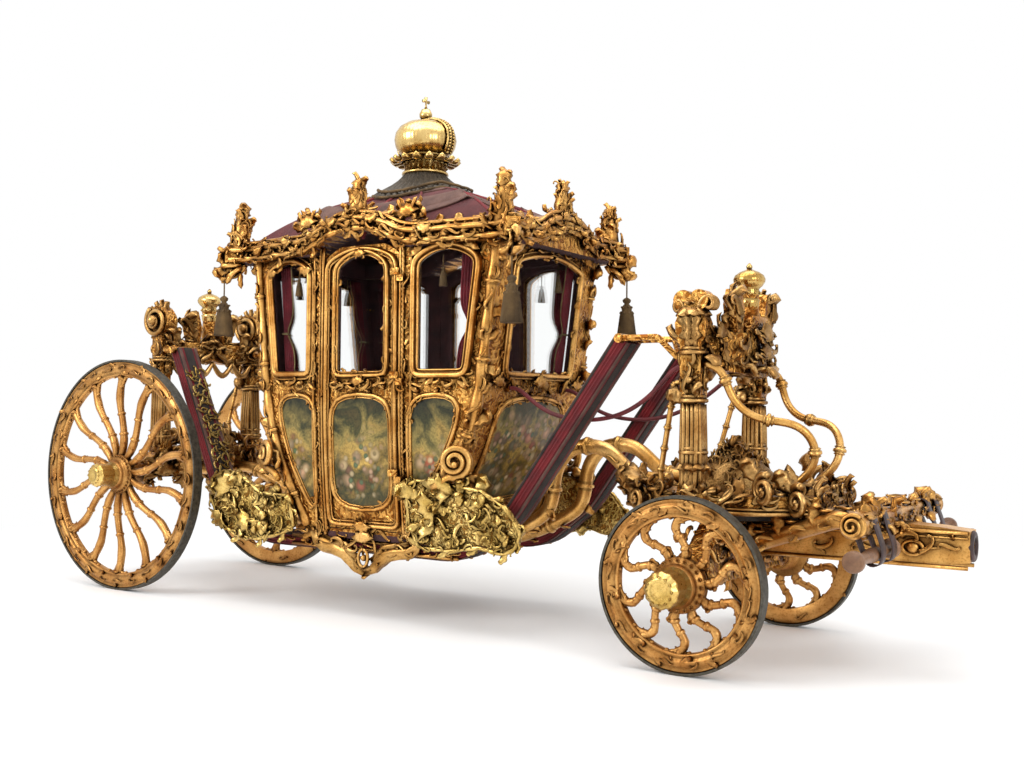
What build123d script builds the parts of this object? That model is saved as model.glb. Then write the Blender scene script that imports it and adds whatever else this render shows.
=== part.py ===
from build123d import *
import math
import os

# A four-wheeled, horse-drawn gala coach: a glazed cabin with canted quarters, hung on two
# long straps between tall carved standards, over a crane-neck undercarriage whose small
# front wheels steer beneath the raised neck.
# Frame: +X forward, +Y the coach's left, +Z up, origin on the ground under the middle.

os.makedirs("parts", exist_ok=True)

# ------------------------------------------------------------------ driving dimensions (mm)
SEAT = 0.3                   # clearance of a curved or soft seat
DOOR_GAP = 6                 # running clearance round a door

# running gear
REAR_AXLE_X = -2450
WHEELBASE = 4490
FRONT_AXLE_X = REAR_AXLE_X + WHEELBASE
REAR_WHEEL_R = 845
FRONT_WHEEL_R = 455
WHEEL_Y = 790                # middle plane of every wheel
TYRE_W = 70
TYRE_T = 14
FELLOE_W = 62
REAR_FELLOE_D = 105
FRONT_FELLOE_D = 95
HUB_INNER_Y = 640
HUB_BACK_R = 95
HUB_FLANGE_R = 145
HUB_FLANGE_W = 44
REAR_NOSE_R = 75
REAR_NOSE_Y = 1035
FRONT_NOSE_R = 90
FRONT_NOSE_Y = 1050
AXLE_ARM_R = 30
AXLE_RUN = 0.05              # radial running clearance of a hub on its arm
AXLE_END_GAP = 6
HUB_CAP_T = 40               # closed end of a nave
AXLE_BAR = 64                # square middle of an axle
REAR_SPOKES = 14
FRONT_SPOKES = 10
REAR_SPOKE_W = 44
FRONT_SPOKE_W = 40
SPOKE_T = 44                 # along the axle

# undercarriage
PLATFORM_TOP_Z = 900
PLATFORM_T = 95
PLATFORM_HALF_L = 560
PLATFORM_HALF_W = 505
PLATFORM_END_W = 300         # half width at the narrowed ends
PLATFORM_MID_L = 250         # half length of the full-width middle
TURNTABLE_R = 360
TURNTABLE_T = 26
TURNTABLE_GAP = 0.5
KINGPIN_R = 25
KINGPIN_RUN = 0.05
BED_HALF_Y = 600
REAR_BED_HALF_X = 80
REAR_BED_TOP = 1000
FRONT_BED_HALF_X = 70
PERCH_Y = 200
PERCH_R = 46
PERCH_ARCH_Z = 1130
PERCH_ARCH_X0 = 1040         # rear of the raised neck
PERCH_ARCH_X1 = 1440         # front of the raised neck
PERCH_LEG_X = 930
PERCH_LOW_Z = 446

# cabin
BODY_X = -255                # middle of the cabin and of its doors
WALL = 46
POST = 88
FLOOR_T = 40
SILL_Z = 1530
CORNICE_Z = 2350
CORNICE_H = 110
CORNICE_OUT = 95
DOOR_W = 620
DOOR_Z0 = 560
DOOR_SPRING_Z = 2330         # where a door's straight edge ends
DOOR_RISE = 100
FLOOR_HALF_L = 500           # half length of the cabin at its floor
BELLY_HALF_L = 700
SILL_HALF_L = 925
EAVES_HALF_L = 1035
BELLY_Z = 900
FLOOR_HALF_W = 575
SILL_HALF_W = 645
CORNER_HALF_W = 572          # half width where the canted quarters end
GLASS_T = 6
HINGE_R = 13                 # knuckle of a door hinge
HINGE_PIN_R = 6
HINGE_PIN_RUN = 0.05
HINGE_OUT = 20               # hinge axis outside the cabin's side
KNUCKLE_H = 42
HINGE_LEAF = 44
QUARTER_X0 = DOOR_W / 2 + 130             # quarter lights, from the cabin's middle
QUARTER_X1_LOW = SILL_HALF_L - 125
QUARTER_X1_HIGH = EAVES_HALF_L - 150
END_GLASS_HALF_W = 400
DOOR_GLASS_HALF_W = 215
GLASS_HEIGHT = 770
ROOF_T = 22
ROOF_TOP_Z = 2830
ROOF_HALF_L = 1080
ROOF_HALF_W = 650
CONE_R = 345
CONE_TOP_R = 150
CONE_TOP_Z = 2955
GLOBE_R = 214
GLOBE_TOP_Z = 3343
BALL_R = 45
CROSS_TOP_Z = 3510
TIP_X = 1235                 # cornice corner, from the cabin's middle
TIP_Y = 745
TASSEL_X = 1200
TASSEL_Y = 717
TASSEL_TOP_Z = 2100
TASSEL_L = 260
TASSEL_R = 52
TASSEL_CORD_R = 5

# straps
STRAP_Y = 450
STRAP_W = 170
STRAP_T = 92
STRAP_LOW_Z = 452            # middle of a strap under the cabin
STRAP_PIN_R = 26
FRONT_PIN = (1560, 1745)     # x, z of the pin that holds a strap's front end
REAR_PIN = (-2185, 1770)

# check cords
SWAY_CORD_R = 13
SWAY_BOSS_R = 26
SWAY_BOSS_X = 690
SWAY_BOSS_Y = 330
SWAY_BOSS_Z = 1478

# standards
STANDARD_Y = 455
STANDARD_W = 92
FRONT_STANDARD_X = 1960
FRONT_STANDARD_TOP = 2000
REAR_STANDARD_X = -2430

# fore carriage
SPLINTER_X = 2920
SPLINTER_Z = 812
SPLINTER_W = 88
SPLINTER_H = 84
SPLINTER_HALF_Y = 815
POLE_END_X = -(REAR_AXLE_X - REAR_WHEEL_R)
POLE_SOCKET_Z = 668
POLE_BORE_R = 42
POLE_BORE_L = 420
SWING_X = 2975
SWING_Z = 670
SWING_Y = (330, 1020)
SWING_R = 24
SWING_KNOB_R = 50
LOOP_Y = (455, 655)          # places of the leather loops

BODY_Z0 = STRAP_LOW_Z + STRAP_T / 2 + SEAT


# ------------------------------------------------------------------ helpers
def side_plane(y):
    """Drawing plane with X forward and Z up, facing -Y, at a given y."""
    return Plane(origin=(0, y, 0), x_dir=(1, 0, 0), z_dir=(0, -1, 0))


def end_plane(x):
    """Drawing plane with Y across and Z up, facing +X, at a given x."""
    return Plane(origin=(x, 0, 0), x_dir=(0, 1, 0), z_dir=(1, 0, 0))


def rod(points, radii, section_r, sides=8):
    """A bent rod of polygon section along straight runs joined by tangent arcs."""
    with BuildPart() as bent:
        with BuildLine() as route:
            FilletPolyline(*points, radius=radii)
        with BuildSketch(Plane(origin=route.line @ 0, z_dir=route.line % 0)):
            RegularPolygon(section_r, sides)
        sweep(path=route.line)
    return bent.part


# ------------------------------------------------------------------ wheels
def spoke(r0, r1, width, sway):
    """An S-curved spoke in its own polar frame: local X is out along the radius."""
    # columns: share of the length, sideways sway, half width
    stations = [(0.00, 0.0, 0.62), (0.24, 1.0, 0.50), (0.48, 0.2, 0.50), (0.72, -0.9, 0.48),
                (1.00, 0.3, 0.95)]
    length = r1 - r0
    left = [(r0 + s * length, c * sway + h * width) for s, c, h in stations]
    right = [(r0 + s * length, c * sway - h * width) for s, c, h in stations]
    with BuildSketch() as outline:
        with BuildLine():
            ThreePointArc(left[0], left[1], left[2])
            ThreePointArc(left[2], left[3], left[4])
            Line(left[4], right[4])
            ThreePointArc(right[4], right[3], right[2])
            ThreePointArc(right[2], right[1], right[0])
            Line(right[0], left[0])
        make_face()
    return outline.sketch


def make_wheel(x, side, radius, felloe_d, spokes, spoke_w, nose_r, nose_y, sway):
    """Felloes, spokes and nave of one wheel, all in one piece."""
    rim_r = radius - TYRE_T - SEAT
    one_spoke = spoke(HUB_FLANGE_R - 40, rim_r - felloe_d + 12, spoke_w, sway * side)
    nose = nose_y - WHEEL_Y
    back = HUB_INNER_Y - WHEEL_Y
    half_flange = HUB_FLANGE_W / 2
    # nave outline, columns: distance out from the wheel's middle plane, radius
    nave = [
        (back, 0), (back, HUB_BACK_R - 18), (back + 18, HUB_BACK_R), (-half_flange, HUB_BACK_R + 8),
        (-half_flange, HUB_FLANGE_R), (half_flange, HUB_FLANGE_R), (half_flange + 14, HUB_FLANGE_R - 26),
        (half_flange + 60, nose_r + 14), (nose - 34, nose_r), (nose - 12, nose_r), (nose, nose_r - 22),
        (nose, 0),
    ]
    plane = Plane(origin=(x, side * WHEEL_Y, radius), x_dir=(1, 0, 0), z_dir=(0, side, 0))
    nave_plane = Plane(origin=plane.origin, x_dir=(1, 0, 0), z_dir=(0, 0, 1))
    with BuildPart() as wheel:
        with BuildSketch(plane.offset(-FELLOE_W / 2)):
            Circle(rim_r)
            Circle(rim_r - felloe_d, mode=Mode.SUBTRACT)
        extrude(amount=FELLOE_W)
        with BuildSketch(plane.offset(-SPOKE_T / 2)):
            with PolarLocations(0, spokes, start_angle=90):
                add(one_spoke)
        extrude(amount=SPOKE_T)
        with BuildSketch(nave_plane):
            with BuildLine():
                Polyline(*[(r, side * d) for d, r in nave], close=True)
            make_face()
        revolve(axis=Axis(plane.origin, (0, 1, 0)))
        with BuildSketch(plane.offset(back)):
            Circle(AXLE_ARM_R + AXLE_RUN)
        extrude(amount=nose - back - HUB_CAP_T, mode=Mode.SUBTRACT)
    return wheel.part


REAR_SWAY = 30
FRONT_SWAY = 34
# columns: name, axle x, radius, felloe depth, spokes, spoke width, nose radius, nose y, sway
WHEELS = [
    ("rear", REAR_AXLE_X, REAR_WHEEL_R, REAR_FELLOE_D, REAR_SPOKES, REAR_SPOKE_W,
     REAR_NOSE_R, REAR_NOSE_Y, REAR_SWAY),
    ("front", FRONT_AXLE_X, FRONT_WHEEL_R, FRONT_FELLOE_D, FRONT_SPOKES, FRONT_SPOKE_W,
     FRONT_NOSE_R, FRONT_NOSE_Y, FRONT_SWAY),
]
for end, x, radius, felloe_d, spokes, spoke_w, nose_r, nose_y, sway in WHEELS:
    for hand, side in (("right", -1), ("left", 1)):
        wheel = make_wheel(x, side, radius, felloe_d, spokes, spoke_w, nose_r, nose_y, sway)
        wheel.label = f"wheel_{end}_{hand}"
        export_step(wheel, f"parts/wheel_{end}_{hand}.step")
        with BuildPart() as tyre:
            with BuildSketch(side_plane(side * WHEEL_Y).offset(-TYRE_W / 2)):
                with Locations((x, radius)):
                    Circle(radius)
                    Circle(radius - TYRE_T, mode=Mode.SUBTRACT)
            extrude(amount=TYRE_W)
        tyre.part.label = f"tyre_{end}_{hand}"
        export_step(tyre.part, f"parts/tyre_{end}_{hand}.step")

# ------------------------------------------------------------------ axles and beds
AXLE_TIP_GAP = 12
# columns: name, x, axle height, nose y
AXLES = [
    ("rear_axle", REAR_AXLE_X, REAR_WHEEL_R, REAR_NOSE_Y),
    ("front_axle", FRONT_AXLE_X, FRONT_WHEEL_R, FRONT_NOSE_Y),
]
for name, x, z, nose_y in AXLES:
    with BuildPart() as axle:
        with BuildSketch(side_plane(BED_HALF_Y)):
            with Locations((x, z)):
                Rectangle(AXLE_BAR, AXLE_BAR)
        extrude(amount=2 * BED_HALF_Y)
        for side in (-1, 1):
            with BuildSketch(Plane(origin=(x, side * BED_HALF_Y, z), x_dir=(1, 0, 0), z_dir=(0, side, 0))):
                Circle(AXLE_ARM_R)
            extrude(amount=nose_y - HUB_CAP_T - AXLE_TIP_GAP - BED_HALF_Y)
            with BuildSketch(Plane(origin=(x, side * BED_HALF_Y, z), x_dir=(1, 0, 0), z_dir=(0, side, 0))):
                Circle(HUB_BACK_R - 20)
            extrude(amount=HUB_INNER_Y - AXLE_END_GAP - BED_HALF_Y)
    axle.part.label = name
    export_step(axle.part, f"parts/{name}.step")

with BuildPart() as rear_bed:
    with BuildSketch(end_plane(REAR_AXLE_X - REAR_BED_HALF_X)):
        bed_z0 = REAR_WHEEL_R - AXLE_BAR / 2
        with BuildLine():
            Polyline((-BED_HALF_Y, bed_z0), (BED_HALF_Y, bed_z0), (BED_HALF_Y, REAR_BED_TOP - 60),
                     (BED_HALF_Y - 60, REAR_BED_TOP), (-BED_HALF_Y + 60, REAR_BED_TOP),
                     (-BED_HALF_Y, REAR_BED_TOP - 60), close=True)
        make_face()
    extrude(amount=2 * REAR_BED_HALF_X)
    with BuildSketch(side_plane(BED_HALF_Y)):
        with Locations((REAR_AXLE_X, REAR_WHEEL_R)):
            Rectangle(AXLE_BAR, AXLE_BAR)
    extrude(amount=2 * BED_HALF_Y, mode=Mode.SUBTRACT)
rear_bed.part.label = "rear_bed"
export_step(rear_bed.part, "parts/rear_bed.step")

FRONT_BED_TOP = PLATFORM_TOP_Z - PLATFORM_T - TURNTABLE_T - TURNTABLE_GAP - TURNTABLE_T
with BuildPart() as front_bed:
    with BuildSketch(end_plane(FRONT_AXLE_X - FRONT_BED_HALF_X)):
        front_bed_z0 = FRONT_WHEEL_R - AXLE_BAR / 2
        with BuildLine():
            Polyline((-BED_HALF_Y, front_bed_z0), (BED_HALF_Y, front_bed_z0),
                     (BED_HALF_Y, front_bed_z0 + 150), (TURNTABLE_R, FRONT_BED_TOP),
                     (-TURNTABLE_R, FRONT_BED_TOP), (-BED_HALF_Y, front_bed_z0 + 150), close=True)
        make_face()
    extrude(amount=2 * FRONT_BED_HALF_X)
    with BuildSketch(side_plane(BED_HALF_Y)):
        with Locations((FRONT_AXLE_X, FRONT_WHEEL_R)):
            Rectangle(AXLE_BAR, AXLE_BAR)
    extrude(amount=2 * BED_HALF_Y, mode=Mode.SUBTRACT)
    with BuildSketch(Plane.XY.offset(FRONT_WHEEL_R)):
        with Locations((FRONT_AXLE_X, 0)):
            Circle(KINGPIN_R + KINGPIN_RUN)
    extrude(amount=FRONT_BED_TOP - FRONT_WHEEL_R, mode=Mode.SUBTRACT)
front_bed.part.label = "front_bed"
export_step(front_bed.part, "parts/front_bed.step")


# ------------------------------------------------------------------ perches
# columns: x, z, corner radius there (none at the two ends)
PERCH_ROUTE = [
    (FRONT_AXLE_X - 330, PLATFORM_TOP_Z + PERCH_R + SEAT, None),
    (PERCH_ARCH_X1 + 190, PLATFORM_TOP_Z + PERCH_R + SEAT, 110),
    (PERCH_ARCH_X1, PERCH_ARCH_Z, 120),
    (PERCH_ARCH_X0, PERCH_ARCH_Z, 90),
    (PERCH_LEG_X, PERCH_ARCH_Z - 150, 90),
    (PERCH_LEG_X - 10, 720, 170),
    (600, 560, 250),
    (250, PERCH_LOW_Z, 500),
    (-850, PERCH_LOW_Z, 500),
    (-1700, 700, 500),
    (REAR_AXLE_X + REAR_BED_HALF_X + 260, REAR_WHEEL_R + 30, 300),
    (REAR_AXLE_X + REAR_BED_HALF_X, REAR_WHEEL_R + 30, None),
]
perch_radii = [r for x, z, r in PERCH_ROUTE[1:-1]]
perch_sides = [rod([(x, side * PERCH_Y, z) for x, z, r in PERCH_ROUTE], perch_radii, PERCH_R)
               for side in (-1, 1)]
with BuildPart() as perches:
    add(perch_sides)
perches.part.label = "perches"
export_step(perches.part, "parts/perches.step")

# ------------------------------------------------------------------ fore platform
with BuildPart() as fore_platform:
    with BuildSketch(Plane.XY.offset(PLATFORM_TOP_Z - PLATFORM_T)):
        with BuildLine():
            corners = [(PLATFORM_HALF_L, PLATFORM_END_W), (PLATFORM_MID_L, PLATFORM_HALF_W),
                       (-PLATFORM_MID_L, PLATFORM_HALF_W), (-PLATFORM_HALF_L, PLATFORM_END_W)]
            corners += [(x, -y) for x, y in reversed(corners)]
            Polyline(*[(FRONT_AXLE_X + x, y) for x, y in corners], close=True)
        make_face()
    extrude(amount=PLATFORM_T)
fore_platform.part.label = "fore_platform"
export_step(fore_platform.part, "parts/fore_platform.step")

# carved mass on the fore platform, between the standards
# columns: foot above the platform, height, rear and front ends from the axle, half width, corner cut, taper
TIERS = [(0, 60, -305, 315, 300, 120, 35), (60, 175, -210, 100, 235, 90, 18)]
with BuildPart() as platform_mound:
    for foot, height, rear_x, front_x, half_w, cut, taper in TIERS:
        with BuildSketch(Plane.XY.offset(PLATFORM_TOP_Z + foot)):
            with BuildLine():
                corners = [(front_x, half_w - cut), (front_x - cut, half_w), (rear_x + cut, half_w),
                           (rear_x, half_w - cut)]
                corners += [(x, -y) for x, y in reversed(corners)]
                Polyline(*[(FRONT_AXLE_X + x, y) for x, y in corners], close=True)
            make_face()
        extrude(amount=height, taper=taper)
platform_mound.part.label = "platform_mound"
export_step(platform_mound.part, "parts/platform_mound.step")

TURNTABLE_TOP = PLATFORM_TOP_Z - PLATFORM_T
with BuildPart() as turntable_upper:
    with BuildSketch(Plane.XY.offset(TURNTABLE_TOP - TURNTABLE_T)):
        with Locations((FRONT_AXLE_X, 0)):
            Circle(TURNTABLE_R)
    extrude(amount=TURNTABLE_T)
    with BuildSketch(Plane.XY.offset(FRONT_WHEEL_R + AXLE_BAR / 2 + 40)):
        with Locations((FRONT_AXLE_X, 0)):
            Circle(KINGPIN_R)
    extrude(until=Until.NEXT)
turntable_upper.part.label = "turntable_upper"
export_step(turntable_upper.part, "parts/turntable_upper.step")

with BuildPart() as turntable_lower:
    with BuildSketch(Plane.XY.offset(FRONT_BED_TOP)):
        with Locations((FRONT_AXLE_X, 0)):
            Circle(TURNTABLE_R)
            Circle(TURNTABLE_R - 130, mode=Mode.SUBTRACT)
    extrude(amount=TURNTABLE_T)
turntable_lower.part.label = "turntable_lower"
export_step(turntable_lower.part, "parts/turntable_lower.step")

# ------------------------------------------------------------------ standards
FRONT_SHOULDER = 60          # half depth of a front standard where rods and hangers join it
with BuildPart() as front_standards:
    for side in (-1, 1):
        with BuildSketch(side_plane(side * STANDARD_Y + STANDARD_W / 2)):
            # columns: height, half depth
            shaft = [(PLATFORM_TOP_Z, 78), (PLATFORM_TOP_Z + 90, 56), (1150, 46), (1380, 46),
                     (1440, FRONT_SHOULDER), (1700, FRONT_SHOULDER), (1740, 84), (1820, 92),
                     (1900, 60), (1930, 12)]
            with BuildLine():
                Polyline(*[(FRONT_STANDARD_X + w, z) for z, w in shaft],
                         *[(FRONT_STANDARD_X - w, z) for z, w in reversed(shaft)], close=True)
            make_face()
            with Locations((FRONT_STANDARD_X - 46, FRONT_STANDARD_TOP - 56),
                           (FRONT_STANDARD_X + 46, FRONT_STANDARD_TOP - 56)):
                Circle(56)
        extrude(amount=STANDARD_W)
front_standards.part.label = "front_standards"
export_step(front_standards.part, "parts/front_standards.step")

REAR_SHOULDER = 56
with BuildPart() as rear_standards:
    for side in (-1, 1):
        with BuildSketch(side_plane(side * STANDARD_Y + STANDARD_W / 2)):
            shaft = [(REAR_BED_TOP, 76), (REAR_BED_TOP + 110, 60), (1300, 46), (1560, 50),
                     (1640, REAR_SHOULDER), (1860, REAR_SHOULDER), (1920, 40)]
            with BuildLine():
                Polyline(*[(REAR_STANDARD_X + w, z) for z, w in shaft],
                         *[(REAR_STANDARD_X - w, z) for z, w in reversed(shaft)], close=True)
            make_face()
            with Locations((REAR_STANDARD_X - 10, 2000)):
                Circle(115)
        extrude(amount=STANDARD_W)
rear_standards.part.label = "rear_standards"
export_step(rear_standards.part, "parts/rear_standards.step")

def crest(x, stem_z0, foot_z, crown_z, spread):
    """A small crown on a stem between two scrolled supporters, standing on a beam."""
    # stem and crown outline, columns: radius, height over the crown's band
    outline = [(0, stem_z0 - crown_z), (62, stem_z0 - crown_z), (46, -40), (58, 0), (54, 36), (88, 74),
               (80, 112), (30, 140), (9, 150), (9, 178), (0, 184)]
    with BuildPart() as group:
        with BuildSketch(Plane(origin=(x, 0, crown_z), x_dir=(1, 0, 0), z_dir=(0, -1, 0))):
            with BuildLine():
                Polyline(*outline, close=True)
            make_face()
        revolve(axis=Axis((x, 0, 0), (0, 0, 1)))
        for side in (-1, 1):
            with BuildSketch(end_plane(x - 34)):
                with BuildLine():
                    Polyline((side * spread, foot_z), (side * (spread + 90), foot_z),
                             (side * (spread + 130), foot_z + 150), (side * (spread + 90), foot_z + 240),
                             (side * (spread + 20), foot_z + 250), (side * (spread - 20), foot_z + 120),
                             close=True)
                make_face()
            extrude(amount=68)
    return group.part


STANDARD_IN = STANDARD_Y - STANDARD_W / 2
FRONT_BEAM_BOW = 170
FRONT_BEAM_T = 96
FRONT_BEAM_TOP = 1780
FRONT_BOSS_TOP = 1880        # raised middle of the beam, under the crown
front_crest = crest(FRONT_STANDARD_X + FRONT_BEAM_BOW - 30, FRONT_BOSS_TOP, FRONT_BEAM_TOP, 2010, 175)
with BuildPart() as front_cross_beam:
    with BuildSketch(end_plane(FRONT_STANDARD_X - FRONT_BEAM_T)):
        with BuildLine():
            Polyline((-STANDARD_IN, 1590), (-STANDARD_IN, FRONT_BEAM_TOP), (-150, FRONT_BEAM_TOP),
                     (-115, FRONT_BOSS_TOP), (115, FRONT_BOSS_TOP), (150, FRONT_BEAM_TOP),
                     (STANDARD_IN, FRONT_BEAM_TOP), (STANDARD_IN, 1590))
            ThreePointArc((STANDARD_IN, 1590), (0, 1540), (-STANDARD_IN, 1590))
        make_face()
    extrude(amount=2 * FRONT_BEAM_T + FRONT_BEAM_BOW + 60)
    with BuildSketch(Plane.XY.offset(1500)):
        half = FRONT_BEAM_T / 2
        with BuildLine():
            ThreePointArc((FRONT_STANDARD_X + half, -STANDARD_IN), (FRONT_STANDARD_X + FRONT_BEAM_BOW + half, 0),
                          (FRONT_STANDARD_X + half, STANDARD_IN))
            Line((FRONT_STANDARD_X + half, STANDARD_IN), (FRONT_STANDARD_X - half, STANDARD_IN))
            ThreePointArc((FRONT_STANDARD_X - half, STANDARD_IN), (FRONT_STANDARD_X + FRONT_BEAM_BOW - half, 0),
                          (FRONT_STANDARD_X - half, -STANDARD_IN))
            Line((FRONT_STANDARD_X - half, -STANDARD_IN), (FRONT_STANDARD_X + half, -STANDARD_IN))
        make_face()
    extrude(amount=500, mode=Mode.INTERSECT)
    add(front_crest)
front_cross_beam.part.label = "front_cross_beam"
export_step(front_cross_beam.part, "parts/front_cross_beam.step")

REAR_BEAM_T = 92
REAR_BEAM_TOP = 1850
rear_crest = crest(REAR_STANDARD_X, REAR_BEAM_TOP, REAR_BEAM_TOP, 2110, 115)
with BuildPart() as rear_cross_beam:
    with BuildSketch(end_plane(REAR_STANDARD_X - REAR_BEAM_T / 2)):
        with BuildLine():
            Polyline((-STANDARD_IN, 1730), (-STANDARD_IN, REAR_BEAM_TOP), (STANDARD_IN, REAR_BEAM_TOP),
                     (STANDARD_IN, 1730))
            ThreePointArc((STANDARD_IN, 1730), (STANDARD_IN / 2, 1690), (0, 1720))
            ThreePointArc((0, 1720), (-STANDARD_IN / 2, 1690), (-STANDARD_IN, 1730))
        make_face()
    extrude(amount=REAR_BEAM_T)
    add(rear_crest)
rear_cross_beam.part.label = "rear_cross_beam"
export_step(rear_cross_beam.part, "parts/rear_cross_beam.step")


# ------------------------------------------------------------------ rods between the standards and platforms
FOOT_R = 36
FOOT_H = 45
# columns: x, y on the left, z, corner radius
GUARD_ROUTE = [
    (FRONT_STANDARD_X + FRONT_SHOULDER, 455, 1600, None), (2125, 455, 1600, 70), (2160, 420, 1400, 120),
    (2270, 370, 1300, 80), (2500, 290, 1285, 110), (2575, 215, 1150, 110), (2530, 200, 1010, 80),
    (2430, 200, PLATFORM_TOP_Z + 60, 22), (2400, 200, PLATFORM_TOP_Z + 22, None),
]
guard_radii = [r for x, y, z, r in GUARD_ROUTE[1:-1]]
guard_sides = [rod([(x, side * y, z) for x, y, z, r in GUARD_ROUTE], guard_radii, 25) for side in (-1, 1)]
with BuildPart() as guard_rods:
    add(guard_sides)
    with BuildSketch(Plane.XY.offset(PLATFORM_TOP_Z)):
        with Locations((2402, 200), (2402, -200)):
            Circle(FOOT_R)
    extrude(amount=FOOT_H)
guard_rods.part.label = "guard_rods"
export_step(guard_rods.part, "parts/guard_rods.step")

FRONT_STAY = [
    (FRONT_STANDARD_X - FRONT_SHOULDER, 455, 1500), (1850, 455, 1500), (1735, 385, 1010),
    (1735, 385, PLATFORM_TOP_Z),
]
REAR_PLATFORM_T = 42
REAR_STAY = [
    (REAR_STANDARD_X - REAR_SHOULDER, 455, 1700), (-2545, 455, 1700), (-2590, 365, 1220),
    (-2560, 365, 1110), (-2560, 365, REAR_BED_TOP + REAR_PLATFORM_T),
]
stays = [rod([(x, side * y, z) for x, y, z in FRONT_STAY], 60, 17, 6) for side in (-1, 1)]
stays += [rod([(x, side * y, z) for x, y, z in REAR_STAY], [38, 90, 50], 15, 6) for side in (-1, 1)]
with BuildPart() as standard_stays:
    add(stays)
standard_stays.part.label = "standard_stays"
export_step(standard_stays.part, "parts/standard_stays.step")

with BuildPart() as rear_platform:
    with BuildSketch(Plane.XY.offset(REAR_BED_TOP)):
        with Locations((REAR_AXLE_X + 30, 0)):
            RectangleRounded(420, 2 * STANDARD_IN - 20, 60)
    extrude(amount=REAR_PLATFORM_T)
rear_platform.part.label = "rear_platform"
export_step(rear_platform.part, "parts/rear_platform.step")

# ------------------------------------------------------------------ strap hangers and straps
ARM_R = 19
ARM_OUT = STRAP_W / 2 + ARM_R + 3
# columns: standard's face x, height there, direction of the pin, pin
HANGERS = [
    (FRONT_STANDARD_X - FRONT_SHOULDER, 1640, -1, FRONT_PIN),
    (REAR_STANDARD_X + REAR_SHOULDER, 1800, 1, REAR_PIN),
]
arms = []
for face_x, face_z, sense, (pin_x, pin_z) in HANGERS:
    for side in (-1, 1):
        for turn in (-1, 1):
            near_y = side * (STRAP_Y + turn * 24)
            far_y = side * (STRAP_Y + turn * ARM_OUT)
            arms.append(rod([(face_x, near_y, face_z), (face_x + sense * 32, near_y, face_z),
                             (face_x + sense * 106, far_y, pin_z), (pin_x, far_y, pin_z)], 22, ARM_R, 6))
with BuildPart() as strap_hangers:
    add(arms)
    for side in (-1, 1):
        with BuildSketch(side_plane(side * STRAP_Y + ARM_OUT + ARM_R)):
            with Locations(FRONT_PIN, REAR_PIN):
                Circle(STRAP_PIN_R)
        extrude(amount=2 * (ARM_OUT + ARM_R))
strap_hangers.part.label = "strap_hangers"
export_step(strap_hangers.part, "parts/strap_hangers.step")

# columns: x, z, corner radius
STRAP_ROUTE = [
    (*REAR_PIN, None), (-1640, 610, 260), (-1180, STRAP_LOW_Z, 500), (480, STRAP_LOW_Z, 420),
    (820, 720, 400), (*FRONT_PIN, None),
]
strap_radii = [r for x, z, r in STRAP_ROUTE[1:-1]]
STRAP_EYE_R = STRAP_PIN_R + SEAT + 34
with BuildPart() as straps:
    for side in (-1, 1):
        with BuildLine() as route:
            FilletPolyline(*[(x, side * STRAP_Y, z) for x, z, r in STRAP_ROUTE], radius=strap_radii)
        with BuildSketch(Plane(origin=route.line @ 0, x_dir=(0, 1, 0), z_dir=route.line % 0)):
            Rectangle(STRAP_W, STRAP_T)
        sweep(path=route.line)
        with BuildSketch(side_plane(side * STRAP_Y + STRAP_W / 2)):
            with Locations(FRONT_PIN, REAR_PIN):
                Circle(STRAP_EYE_R)
        extrude(amount=STRAP_W)
        with BuildSketch(side_plane(side * STRAP_Y + STRAP_W / 2)):
            with Locations(FRONT_PIN, REAR_PIN):
                Circle(STRAP_PIN_R + SEAT)
        extrude(amount=STRAP_W, mode=Mode.SUBTRACT)
straps.part.label = "straps"
export_step(straps.part, "parts/straps.step")

# ------------------------------------------------------------------ cabin forms
EAVES_Z = CORNICE_Z + 40     # the forms run a little past the walls' top


def side_profile(inset, z0, z1):
    """Half of the cabin's side view: sloping belly below the sill, flaring lights above it."""
    mid_x = (BELLY_HALF_L + SILL_HALF_L) / 2 + 40 - inset
    mid_z = (BELLY_Z + SILL_Z) / 2
    with BuildSketch(side_plane(800)) as profile:
        for sense in (1, -1):
            def at(half, z, sense=sense):
                return (BODY_X + sense * (half - inset), z)
            with BuildLine():
                Line((BODY_X, z0), at(FLOOR_HALF_L, z0))
                Line(at(FLOOR_HALF_L, z0), at(BELLY_HALF_L, BELLY_Z))
                ThreePointArc(at(BELLY_HALF_L, BELLY_Z), (BODY_X + sense * mid_x, mid_z),
                              at(SILL_HALF_L, SILL_Z))
                Line(at(SILL_HALF_L, SILL_Z), at(EAVES_HALF_L, z1))
                Line(at(EAVES_HALF_L, z1), (BODY_X, z1))
                Line((BODY_X, z1), (BODY_X, z0))
            make_face()
    return profile.sketch


def end_profile(inset, z0, z1):
    """The cabin seen from its end: a gentle turn-under below the sill."""
    low, high = FLOOR_HALF_W - inset, SILL_HALF_W - inset
    mid = ((low + high) / 2 + 18, (z0 + SILL_Z) / 2)
    with BuildSketch(end_plane(BODY_X - 1300)) as profile:
        with BuildLine():
            Line((-low, z0), (low, z0))
            ThreePointArc((low, z0), mid, (high, SILL_Z))
            Line((high, SILL_Z), (high, z1))
            Line((high, z1), (-high, z1))
            Line((-high, z1), (-high, SILL_Z))
            ThreePointArc((-high, SILL_Z), (-mid[0], mid[1]), (-low, z0))
        make_face()
    return profile.sketch


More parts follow.
